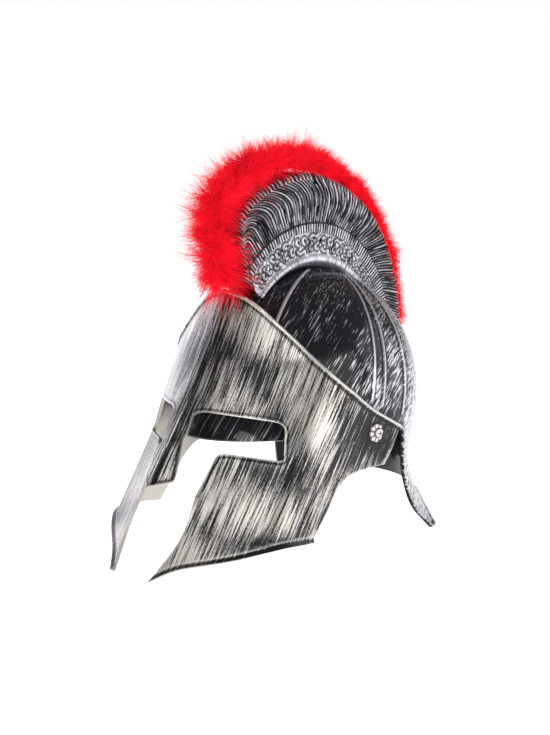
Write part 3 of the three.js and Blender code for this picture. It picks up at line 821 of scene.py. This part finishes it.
# The edge's angles in degrees and its shares of the radius, and the screw holes in the same way
CREST_EDGE = [(139, 0.66), (136, 0.71), (131, 0.83), (127.5, 0.905), (122, 0.985), (109.5, 0.998), (92, 1)]
CREST_EDGE += [(78, 0.965), (55, 0.906), (28, 0.828), (9, 0.795), (-8, 0.83), (-22, 0.86)]
SCREW_HOLES = [(119, 0.855), (88, 0.945), (38, 0.83), (82, 0.615), (124, 0.665)]

# Ridges: how many, and how far each leans back on its way out and curls forward at its end, in degrees
RIDGES = 118
SAMPLES_EACH = 7
BAND_RIBS = 98
LEAN_AT = [-22, 0, 20, 47, 69, 88, 100, 116, 130, 139]
LEAN_BACK = [0, 3, 5, 7, 5, 1.5, -0.5, -2.5, 0.5, 0]
CURL_FORWARD = [0, 0, 0, 0.5, 3, 7, 8.5, 6.5, 2.5, 0]

# Regions of the crest's surface, from the foot outwards, and the step between ribbed band and ridges
FOOT, BEAD, RELIEF, BAND, RIDGED, STEP = range(6)

# Depths of the grooves between ridges, in split ridges and between band ribs, and of the screw holes
GROOVE_DEPTH = 1.7
SPLIT_DEPTH = 0.8
BAND_DEPTH = 1.2
HOLE_DEPTH = 3
HOLE_RADIUS = 1.5

# Scrollwork: height and half-width of a stroke
STROKE_HEIGHT = 1.1
STROKE_HALF_WIDTH = 1.15


def arc_reach(arc, angle):
    """Distance from the crest's centre to an arc, along an angle in degrees."""
    dy, dz = arc[0] - CREST_CENTRE[0], arc[1] - CREST_CENTRE[1]
    a = np.radians(angle)
    along = dy * np.cos(a) + dz * np.sin(a)
    return along + np.sqrt(arc[2] ** 2 - dy * dy - dz * dz + along**2)


def crest_edge(angle):
    degrees, shares = np.array(CREST_EDGE[::-1]).T
    # A smooth line through the table
    made = np.interp(angle, degrees, shares) * 2
    for shift in (-3, 3):
        made = made + np.interp(angle + shift, degrees, shares)
    return CREST_RADIUS * made / 4


def crest_radii(angle):
    """Distances from the crest's centre to its arcs and its edge."""
    edge = crest_edge(angle)
    return [np.minimum(arc_reach(arc, angle), edge - inset) for *arc, inset in CREST_ARCS] + [edge]


def ridge_angle(start, share):
    """Where a ridge that starts at an angle has got to, at a share of the way out."""
    back = np.interp(start, LEAN_AT, LEAN_BACK)
    forward = np.interp(start, LEAN_AT, CURL_FORWARD)
    curl = np.clip((share - 0.45) / 0.55, 0, 1) ** 2
    return start - back * share + forward * curl


def spiral(place, radius, start, turns, hand):
    """A curl that tightens towards its middle."""
    t = np.linspace(0, 1, 26)
    turn = start + hand * t * turns * 2 * np.pi
    reach = radius * (1 - 0.78 * t)
    return np.column_stack([place[0] + reach * np.cos(turn), place[1] + reach * np.sin(turn)])


def leaf(place, length, direction, bow):
    t = np.linspace(0, 1, 9)
    forward = np.array([math.cos(direction), math.sin(direction)])
    left = np.array([-forward[1], forward[0]])
    return np.array(place) + length * (t[:, None] * forward + bow * (t * (1 - t))[:, None] * left)


def relief_strokes():
    """Scrollwork along the relief band: open curls with leaves. Points, and each one's scale."""
    points, scales = [], []
    angle, index = 133.0, 0
    while angle > 12:
        _, low, high, _, _ = crest_radii(angle)
        width = (high - low) / 17
        middle = (low + high) / 2
        hand = 1 if index % 2 else -1
        strokes = [
            spiral((0, -3.4 * hand), 3.7, 1.57 * hand, 0.62, hand),
            spiral((6.9, 3.5 * hand), 3.4, -1.57 * hand, 0.6, -hand),
            leaf((-1.6, 4.6 * hand), 4.4, 0.75 * hand, 0.9 * hand),
            leaf((5.0, -3.6 * hand), 4.2, -0.55 * hand, -1.0 * hand),
            leaf((10.4, -5.4 * hand), 2.6, 0.2, 0.8 * hand),
        ]
        for stroke in strokes:
            stroke = resample(stroke, 0.35) * width
            a = np.radians(angle) - stroke[:, 0] / middle
            r = middle + stroke[:, 1]
            points.append(np.column_stack([r * np.cos(a), r * np.sin(a)]))
            scales.append(np.full(len(a), width))
        angle -= math.degrees(13.6 * width / middle)
        index += 1
    return np.vstack(points), np.concatenate(scales)


def ridged(phase, groove):
    """0 on a ridge and 1 in the groove between two, for a phase that grows by 1 each ridge."""
    return 1 - smoothstep(np.abs(phase - np.round(phase)), groove * 0.35, groove)


def crest_grid():
    """Angle, reach, half-width, ridge share and region of each vertex of the left half."""
    start = np.linspace(CREST_EDGE[0][0], CREST_EDGE[-1][0], RIDGES * SAMPLES_EACH + 1)
    bottom, bead_top, relief_top, band_top, _ = crest_radii(start)
    w = CREST_HALF_WIDTH
    columns = []

    def add(reach, half, region, angle=start, share=0.0):
        full = np.ones(len(start))
        columns.append([angle * full, reach * full, half * full, share * full, region * full])

    add(bottom - CREST_FOOT, CREST_SEAM, FOOT)
    add(bottom - CREST_FOOT, w - CREST_FOOT_INSET, FOOT)
    add(bottom - 1.8, w - CREST_FOOT_INSET, FOOT)
    for t in np.linspace(0, 1, 9):
        foot = (w - CREST_FOOT_INSET) * (1 - t) + (w - RELIEF_INSET) * t
        stand = (BEAD_STAND + 3.4) * math.sin(np.pi * min(1, t * 0.93 + 0.02)) ** 0.8
        add((bottom - 1.4) * (1 - t) + bead_top * t, foot + stand * (1 - 0.45 * t), BEAD)
    for t in np.linspace(0.05, 0.97, 24):
        add(bead_top * (1 - t) + relief_top * t, w - RELIEF_INSET, RELIEF)
    # The step up to the ribbed band shines like a bead
    add(relief_top + 0.3, w + BAND_STAND * 0.7, BEAD)
    for t in np.linspace(0, 1, 7):
        add((relief_top + 1) * (1 - t) + (band_top - 1) * t, w + BAND_STAND, BAND)
    add(band_top - 0.3, w - 0.9, STEP)
    add(band_top + 0.3, w - 0.9, STEP)
    # Ridges, out to the rounded edge and over it
    for share in np.linspace(0.03, 1, 26):
        angle = ridge_angle(start, share)
        _, _, _, foot, edge = crest_radii(angle)
        add(foot + (edge - CREST_EDGE_ROUND - foot) * share, w, RIDGED, angle, share)
    angle = ridge_angle(start, 1.0)
    edge = crest_edge(angle)
    for turn in np.radians([20, 45, 70, 90]):
        half = w - CREST_EDGE_ROUND * (1 - math.cos(turn))
        add(edge - CREST_EDGE_ROUND * (1 - math.sin(turn)), half, RIDGED, angle, 1)
    add(edge, w * 0.35, RIDGED, angle, 1)
    add(edge, CREST_SEAM, RIDGED, angle, 1)
    return [np.array([c[k] for c in columns]).T for k in range(5)]


def relief_strokes_on(flat, in_relief):
    """Height of the scrollwork at each point, with a painted shadow round each stroke and painted shine on
    it.
    """
    strokes, scales = relief_strokes()
    far, which = nearest_point(flat[in_relief], strokes)
    size = scales[which]
    height, shade, shine = (np.zeros(len(flat)) for _ in range(3))
    height[in_relief] = STROKE_HEIGHT * np.sqrt(np.clip(1 - (far / (STROKE_HALF_WIDTH * size)) ** 2, 0, 1))
    shade[in_relief] = bell(far - 1.75 * size, 0.55 * size)
    shine[in_relief] = 1 - smoothstep(far, 0.4 * size, 1.0 * size)
    return height, shade, shine


def screw_holes_on(flat):
    far = np.full(len(flat), 99.0)
    for degrees, part in SCREW_HOLES:
        turn = math.radians(degrees)
        middle = CREST_RADIUS * part * np.array([math.cos(turn), math.sin(turn)])
        far = np.minimum(far, np.linalg.norm(flat - middle, axis=1))
    return 1 - smoothstep(far, HOLE_RADIUS, HOLE_RADIUS + 0.6)


def make_crest(name, node_name, hand):
    angle, reach, half, share, region = crest_grid()
    shape = reach.shape
    rng = np.random.default_rng(11 + hand)
    ridge = np.linspace(0, RIDGES, len(reach))[:, None]

    def by_ridge(values):
        return np.interp(ridge.ravel(), np.arange(RIDGES + 1), values)[:, None]

    wander = by_ridge(rng.normal(0, 0.16, RIDGES + 1))
    ridges = ridged(ridge + wander, 0.42) * (region == RIDGED)
    split = ridged(ridge + 0.5 + wander, 0.12) * smoothstep(share, 0.15, 0.35) * (region == RIDGED)
    split *= (np.sin(ridge * 2.3) > 0.35) * (1 - smoothstep(share, 0.75, 0.95))
    band = ridged(ridge * BAND_RIBS / RIDGES + 0.5, 0.34) * (region == BAND)

    a = np.radians(angle)
    flat = np.dstack([reach * np.cos(a), reach * np.sin(a)]).reshape(-1, 2)
    relief = relief_strokes_on(flat, (region == RELIEF).ravel())
    height, shade, shine = (values.reshape(shape) for values in relief)
    hole = screw_holes_on(flat).reshape(shape) * (region >= RELIEF)

    depth = GROOVE_DEPTH * ridges + SPLIT_DEPTH * split + BAND_DEPTH * band - height + HOLE_DEPTH * hole
    outwards = np.where((region == RIDGED) & (half < CREST_HALF_WIDTH - 0.1), 0.75, 0)
    reach = reach - depth * outwards
    half = np.where(half > 1, half - depth * np.sqrt(1 - outwards**2), half)
    y, z = CREST_CENTRE[0] + reach * np.cos(a), CREST_CENTRE[1] + reach * np.sin(a)
    points = np.dstack([half * hand, y, z]).reshape(-1, 3)

    bright = by_ridge(rng.uniform(-0.2, 0.5, RIDGES + 1)) * (region == RIDGED)
    edge = 0.3 * (region == BEAD) + bright + 0.3 * (region == BAND) + 0.15 * (region == RELIEF)
    # Painted shine on top of the scrollwork's strokes
    edge = edge + 0.1 * shine
    # Painted shadow: the whole foot under the bead is black, for the shadowed gap over the dome
    dark = 1.5 * ridges + 0.9 * split + 1.6 * band + 1.2 * (region == STEP) + 3 * hole + (region == FOOT)
    # Painted shadow round the scrollwork's strokes
    dark = dark + 1.1 * shade
    flow = np.dstack([ridge * 4 + np.zeros(shape), reach, np.zeros(shape)]).reshape(-1, 3)
    attributes = {"flow": flow, "edge": np.clip(edge, 0, 1).ravel(), "dark": np.clip(dark, 0, 1).ravel()}
    made = mesh_object(name, points, ring_faces(*shape, hand), crest_finish, attributes, CREST_SHARP)
    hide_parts(node_name)


make_crest("crest_left_half", "crest_left", 1)
make_crest("crest_right_half", "crest_right", -1)


# Temple rivets: a flower washer with a domed, slotted screw on it, and a plain head inside
ROSETTE_RADIUS = 8
ROSETTE_PETALS = 8
SCREW_OFFSET = 1.2
SCREW_RADIUS = 3.7
INNER_HEAD_X = 85.2
INNER_HEAD_HEIGHT = 2.4
SHANK_SHARE = 0.25
SLOT_HALF_WIDTH = 0.45
SLOT_REACH = 2.4
SLOT_DEPTH = 0.9
ROSETTE_RINGS = 34
ROSETTE_SIDES = 112
ROSETTE_SHARP = 55

# Heights of the solid's washer and screw head
WASHER_HEIGHT = 2.2
SCREW_HEIGHT = 2.4


def rosette_height(y, z):
    """Height of the flower and its screw over the washer's foot, and how dark it is there."""
    reach, turn = np.hypot(y, z), np.arctan2(z, y)
    petal = np.abs(np.cos(turn * ROSETTE_PETALS / 2))
    height = 0.6 + 1.7 * np.sqrt(np.clip(1 - ((reach - 5.4) / 3.0) ** 2, 0, 1)) * petal**0.6
    dark = (1 - petal) ** 3 * smoothstep(reach, 3.2, 5.0)
    screw = np.hypot(y - SCREW_OFFSET, z)
    dome = 2.2 + 2.0 * np.sqrt(np.clip(1 - (screw / (SCREW_RADIUS * 1.15)) ** 2, 0, 1))
    slot = np.minimum(np.abs(y - SCREW_OFFSET), np.abs(z)) < SLOT_HALF_WIDTH
    slot &= screw < SLOT_REACH
    on_screw = screw < SCREW_RADIUS
    dark = np.where(on_screw, 0.9 * slot, dark + bell(screw - SCREW_RADIUS - 0.4, 0.5))
    return np.where(on_screw, dome - SLOT_DEPTH * slot, height), dark


def make_rosette(name, node_name, hand, foot_x):
    turn = np.arange(ROSETTE_SIDES) * 2 * np.pi / ROSETTE_SIDES
    outer = ROSETTE_RADIUS * (0.9 + 0.1 * np.abs(np.cos(turn * ROSETTE_PETALS / 2)) ** 0.7)
    share = np.linspace(0.02, 1, ROSETTE_RINGS)[:, None]
    y = (share * outer * np.cos(turn)).ravel()
    z = (share * outer * np.sin(turn)).ravel()
    height, dark = rosette_height(y, z)
    # The last ring is the washer's foot
    height[-ROSETTE_SIDES:] = 0
    rings = [np.column_stack([foot_x + height, RIVET[0] + y, RIVET[1] + z])]
    # Behind it the washer's back, the shank and the inner head: place across, and share of the outline
    head_x = INNER_HEAD_X + INNER_HEAD_HEIGHT
    back = [(foot_x - 0.2, 1.0), (foot_x - 0.2, SHANK_SHARE), (head_x, SHANK_SHARE)]
    back += [(head_x, 0.45), (INNER_HEAD_X + 0.8, 0.45), (INNER_HEAD_X, 0.3)]
    for x, part in back:
        y, z = part * outer * np.cos(turn), part * outer * np.sin(turn)
        rings.append(np.column_stack([np.full(ROSETTE_SIDES, x), RIVET[0] + y, RIVET[1] + z]))
    points = np.vstack(rings)
    faces = ring_faces(len(points) // ROSETTE_SIDES, ROSETTE_SIDES, hand)
    behind = len(back) * ROSETTE_SIDES
    dark = np.r_[np.clip(dark, 0, 1), np.full(behind, 0.3)]
    edge = np.r_[0.9 * smoothstep(height, 1.0, 2.0), np.zeros(behind)]
    attributes = {"flow": points * [0.2, 1, 1], "edge": edge, "dark": dark}
    made = mesh_object(name, points * [hand, 1, 1], faces, rosette_finish, attributes, ROSETTE_SHARP)
    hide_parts(node_name)


washer_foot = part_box("rosette_left")[1][0] * 1000 - WASHER_HEIGHT - SCREW_HEIGHT
make_rosette("rosette_left_flower", "rosette_left", 1, washer_foot)
make_rosette("rosette_right_flower", "rosette_right", -1, washer_foot)


# Feather trim: barbs in clusters round a core that follows the crest's outer edge
PLUME_PATH = [(105, 245), (97, 271), (102, 297), (122, 317), (155, 328), (190, 332), (222, 326)]
PLUME_PATH += [(252, 312), (281, 290), (303, 260), (317, 228), (323, 196), (328, 168)]
PLUME_THICK = 21
PLUME_THIN = 10
PLUME_PARTS = 3
CLUSTERS_EACH = 420
BARBS_EACH = 58
BARB_WIDTH = 0.34
BARB_SECTIONS = (0, 0.35, 0.7, 1)

# Painted shade along a barb: how bright it is at each of its seven points, from the root to the tip, darkest
# at the root near the crest
BARB_SHADE_TONES = [0.45, 0.45, 0.9, 0.9, 1.1, 1.1, 1.2]
FEATHER_DARK = (0.45, 0.0, 0.006, 1)
FEATHER_RED = (1.0, 0.013, 0.04, 1)

# Painted glow: emission that stands in for light going through the barbs, which the surface alone doesn't
# give
FEATHER_GLOW = 0.28

# Thin wisps: their share of the barbs, and how much longer and narrower they are
WISP_SHARE = 0.1
WISP_LENGTH = 1.35
WISP_WIDTH = 0.7

# How far barbs spread from their feather, curl on their own and curl with it
BARB_SPREAD = 0.42
BARB_CURL = 0.28
FEATHER_CURL = 0.25

# Roots lie deeper behind the front, and the front end hangs over the visor's peak
ROOTS_DEEPER = 3.5
FRONT_HANG = np.array([0, -3.0, -4.0])

# The longest barb at the front and over the rear half
LONGEST_FRONT = 34
LONGEST_REAR = 13.5
CORE_RINGS = 40
CORE_SIDES = 12
# The core is painted dark, as painted shade deep inside the trim
CORE_SHADE_TONE = 0.1
SIDEWAYS = np.array([1.0, 0, 0])


def feather_finish():
    made, tree, shader = material("feather_red")
    colour = mixed(tree, attribute(tree, "tone"), FEATHER_DARK, FEATHER_RED)
    looks = {
        "Base Color": colour,
        "Emission Color": colour,
        "Emission Strength": FEATHER_GLOW,
        "Roughness": 0.75,
        "Specular IOR Level": 0.15,
    }
    set_inputs(tree, shader, looks)
    return made


def plume_axis(share):
    """Point, direction along and direction away from the crest, at shares of the trim's length."""
    path = curve_through(PLUME_PATH, 1.0)
    at = share * (len(path) - 1)

    def there(values):
        return np.column_stack([np.interp(at, np.arange(len(path)), values[:, k]) for k in (0, 1)])

    point, along = there(path), unit(there(np.gradient(path, axis=0)))
    zero = np.zeros(len(share))
    return [np.column_stack([zero, *row.T]) for row in (point, along, along[:, ::-1] * [-1, 1])]


def plume_radius(share):
    return PLUME_THICK + (PLUME_THIN - PLUME_THICK) * smoothstep(share, 0.1, 0.75)


def off_the_crest(points):
    """Moves barb points out of the crest, on to its flanks."""
    dy, dz = points[:, 1] - CREST_CENTRE[0], points[:, 2] - CREST_CENTRE[1]
    reach = np.hypot(dy, dz)
    angle = np.clip(np.degrees(np.arctan2(dz, dy)), -22, 139)
    deep = crest_edge(angle) + 0.4 - reach
    flank = CREST_HALF_WIDTH + 0.6 - CREST_EDGE_ROUND * smoothstep(-deep, -5, 0)
    inside = (deep > 0) & (np.abs(points[:, 0]) < flank)
    points[inside, 0] = np.where(points[inside, 0] < 0, -1, 1) * flank[inside]
    return points


def plume_feathers(index, rng):
    """A part's feathers: share of the trim's length, root, ways along and out, radius, aim and reach."""
    low, high = index / PLUME_PARTS, (index + 1) / PLUME_PARTS
    place = (np.arange(CLUSTERS_EACH) + rng.random(CLUSTERS_EACH)) / CLUSTERS_EACH
    if index == 0:
        # More of them at the front end
        place = place**1.35
    share = 0.008 + 0.984 * (low + (high - low) * place)
    point, along, away = plume_axis(share)
    radius = plume_radius(share) * rng.uniform(0.85, 1.15, CLUSTERS_EACH)
    turn = rng.uniform(-2.5, 2.5, CLUSTERS_EACH)
    lean = rng.normal(0.25, 0.45, CLUSTERS_EACH) - 1.9 * (1 - smoothstep(share, 0.0, 0.06))
    lean += 0.8 * smoothstep(share, 0.97, 1.0)
    front = 1 - smoothstep(share, 0.0, 0.07)
    rear = smoothstep(share, 0.55, 0.8) + 0.4 * smoothstep(share, 0.93, 1.0)
    aim = unit(away * np.cos(turn)[:, None] + SIDEWAYS * np.sin(turn)[:, None] + along * lean[:, None])
    reach = radius * (1.0 - 0.08 * np.abs(turn) + 0.25 * front + 0.3 * rear)
    return share, point, along, away, radius, aim, reach * rng.uniform(0.8, 1.1, CLUSTERS_EACH)


def barb_mesh(root, aim, curl, length, flat_way, width):
    """Strips of five triangles that narrow to a tip, one for each barb."""
    sections = []
    for s in BARB_SECTIONS:
        middle = off_the_crest(root + aim * (length * s)[:, None] + curl * (length * s * s)[:, None])
        if s == 1:
            sections.append(middle)
        else:
            half = flat_way * (width * (1 - 0.55 * s))[:, None] / 2
            sections += [middle - half, middle + half]
    points = np.stack(sections, axis=1).reshape(-1, 3)
    first = np.arange(len(root))[:, None] * len(sections)
    strip = np.array([[0, 1, 3], [0, 3, 2], [2, 3, 5], [2, 5, 4], [4, 5, 6]])
    return points, (first[:, :, None] + strip[None]).reshape(-1, 3)


def make_plume_part(index):
    """Points, triangles and tones of one part's barbs."""
    rng = np.random.default_rng(40 + index)
    share, point, along, away, radius, feather, reach = plume_feathers(index, rng)
    owner = np.repeat(np.arange(CLUSTERS_EACH), BARBS_EACH)
    count = len(owner)
    aim = unit(feather[owner] + rng.normal(0, BARB_SPREAD, (count, 3)))
    root = point[owner] + feather[owner] * (rng.random(count) * 0.55 * radius[owner])[:, None]
    root += along[owner] * rng.normal(0, 1.6, count)[:, None]
    root -= away[owner] * (ROOTS_DEEPER * smoothstep(share, 0.2, 0.4))[owner, None]
    root += FRONT_HANG * (1 - smoothstep(share, 0.0, 0.05))[owner, None]
    length = reach[owner] * rng.uniform(0.45, 1.0, count) ** 0.8
    wisp = rng.random(count) < WISP_SHARE
    length *= np.where(wisp, WISP_LENGTH, 1.0)
    longest = LONGEST_FRONT + (LONGEST_REAR - LONGEST_FRONT) * smoothstep(share, 0.45, 0.7)
    length = np.minimum(length, longest[owner])
    curl = rng.normal(0, BARB_CURL, (count, 3))
    curl += rng.normal(0, FEATHER_CURL, (CLUSTERS_EACH, 3))[owner]
    curl[:, 2] -= 0.08
    width = BARB_WIDTH * rng.uniform(0.6, 1.2, count) * np.where(wisp, WISP_WIDTH, 1.0)
    flat_way = unit(np.cross(aim, rng.normal(0, 1, (count, 3))))
    points, faces = barb_mesh(root, aim, curl, length, flat_way, width)
    tone = np.clip(rng.normal(0.55, 0.2, CLUSTERS_EACH)[owner] + rng.normal(0, 0.12, count), 0, 1)
    tone = np.repeat(tone, len(BARB_SHADE_TONES)) * np.tile(BARB_SHADE_TONES, count)
    return points, faces, np.clip(tone, 0, 1)


def plume_core(index):
    """The round core that a part's feathers grow from."""
    ends = (0.005 + 0.99 * index / PLUME_PARTS, 0.005 + 0.99 * (index + 1) / PLUME_PARTS)
    share = np.linspace(*ends, CORE_RINGS)
    point, _, away = plume_axis(share)
    radius = 0.42 * plume_radius(share)
    radius[[0, -1]] *= 0.3
    sides = []
    for turn in np.linspace(0, 2 * np.pi, CORE_SIDES, endpoint=False):
        sides.append(point + (away * math.cos(turn) + SIDEWAYS * math.sin(turn)) * radius[:, None])
    faces = []
    for b, c, d, a in ring_faces(CORE_RINGS, CORE_SIDES, 1)[:-2]:
        faces += [(a, b, c), (a, c, d)]
    return np.stack(sides, axis=1).reshape(-1, 3), np.array(faces)


def make_plume():
    finish = feather_finish()
    for index in range(PLUME_PARTS):
        points, faces, tone = make_plume_part(index)
        core, core_faces = plume_core(index)
        faces = np.vstack([faces, core_faces + len(points)])
        points = np.vstack([points, core])
        tone = np.r_[tone, np.full(len(core), CORE_SHADE_TONE)]
        made = mesh_object(f"feather_trim_{index + 1}", points, faces, finish, {"tone": tone})
        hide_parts("plume_trim")


make_plume()


# Light and floor
FLOOR_GLOW = 0.85
FLOOR_HALF = 6.0
FLOOR_WHITE = (0.85, 0.85, 0.86, 1)
ROOM_LIGHT = 0.3

# Lights: name, place from the object's middle in metres, size, power and colour
LIGHTS = [
    ("key", (0.7, -1.1, 1.2), (0.6, 0.6), 8, (1, 1, 1)),
    ("side", (1.5, 0.25, 0.1), (1.2, 1.2), 11, (1, 0.99, 0.96)),
    ("far_side", (-1.4, 0.25, 0.35), (2.1, 1.3), 14, (0.9, 0.88, 1)),
    ("rear", (0.9, 1.3, 0.3), (1.0, 1.0), 6.5, (0.93, 0.91, 1)),
]
OBJECT_MIDDLE = (0, 180, 150)


def add_lights():
    middle = Vector(to_row(OBJECT_MIDDLE))
    for name, place, size, power, colour in LIGHTS:
        data = bpy.data.lights.new(name, "AREA")
        data.shape = "RECTANGLE"
        data.size, data.size_y = size
        data.energy = power
        data.color = colour
        made = bpy.data.objects.new(name, data)
        made.location = middle + Vector(place)
        made.rotation_euler = (-Vector(place)).to_track_quat("-Z", "Y").to_euler()
        bpy.context.scene.collection.objects.link(made)


def add_floor():
    finish, tree, shader = material("floor_white")
    looks = {"Base Color": FLOOR_WHITE, "Roughness": 1.0}
    looks |= {"Emission Color": (1, 1, 1, 1), "Emission Strength": FLOOR_GLOW}
    set_inputs(tree, shader, looks)
    mesh = bpy.data.meshes.new("floor")
    corners = [(x * FLOOR_HALF, y * FLOOR_HALF, 0) for x, y in ((-1, -1), (1, -1), (1, 1), (-1, 1))]
    mesh.from_pydata(corners, [], [(0, 1, 2, 3)])
    mesh.materials.append(finish)
    floor = bpy.data.objects.new("floor", mesh)
    bpy.context.scene.collection.objects.link(floor)


def add_world():
    """White behind the object, and a dimmer room for its light and reflections."""
    world = bpy.data.worlds.new("studio")
    world.use_nodes = True
    tree = world.node_tree
    seen = node(tree, "LightPath", {}).outputs["Is Camera Ray"]
    strength = node(tree, "MapRange", {"Value": seen, "To Min": ROOM_LIGHT, "To Max": 1.0})
    light = {"Color": (1, 1, 1, 1), "Strength": strength.outputs["Result"]}
    set_inputs(tree, tree.nodes["Background"], light)
    bpy.context.scene.world = world


add_floor()
add_world()
add_lights()
bpy.context.scene.view_settings.view_transform = "Standard"
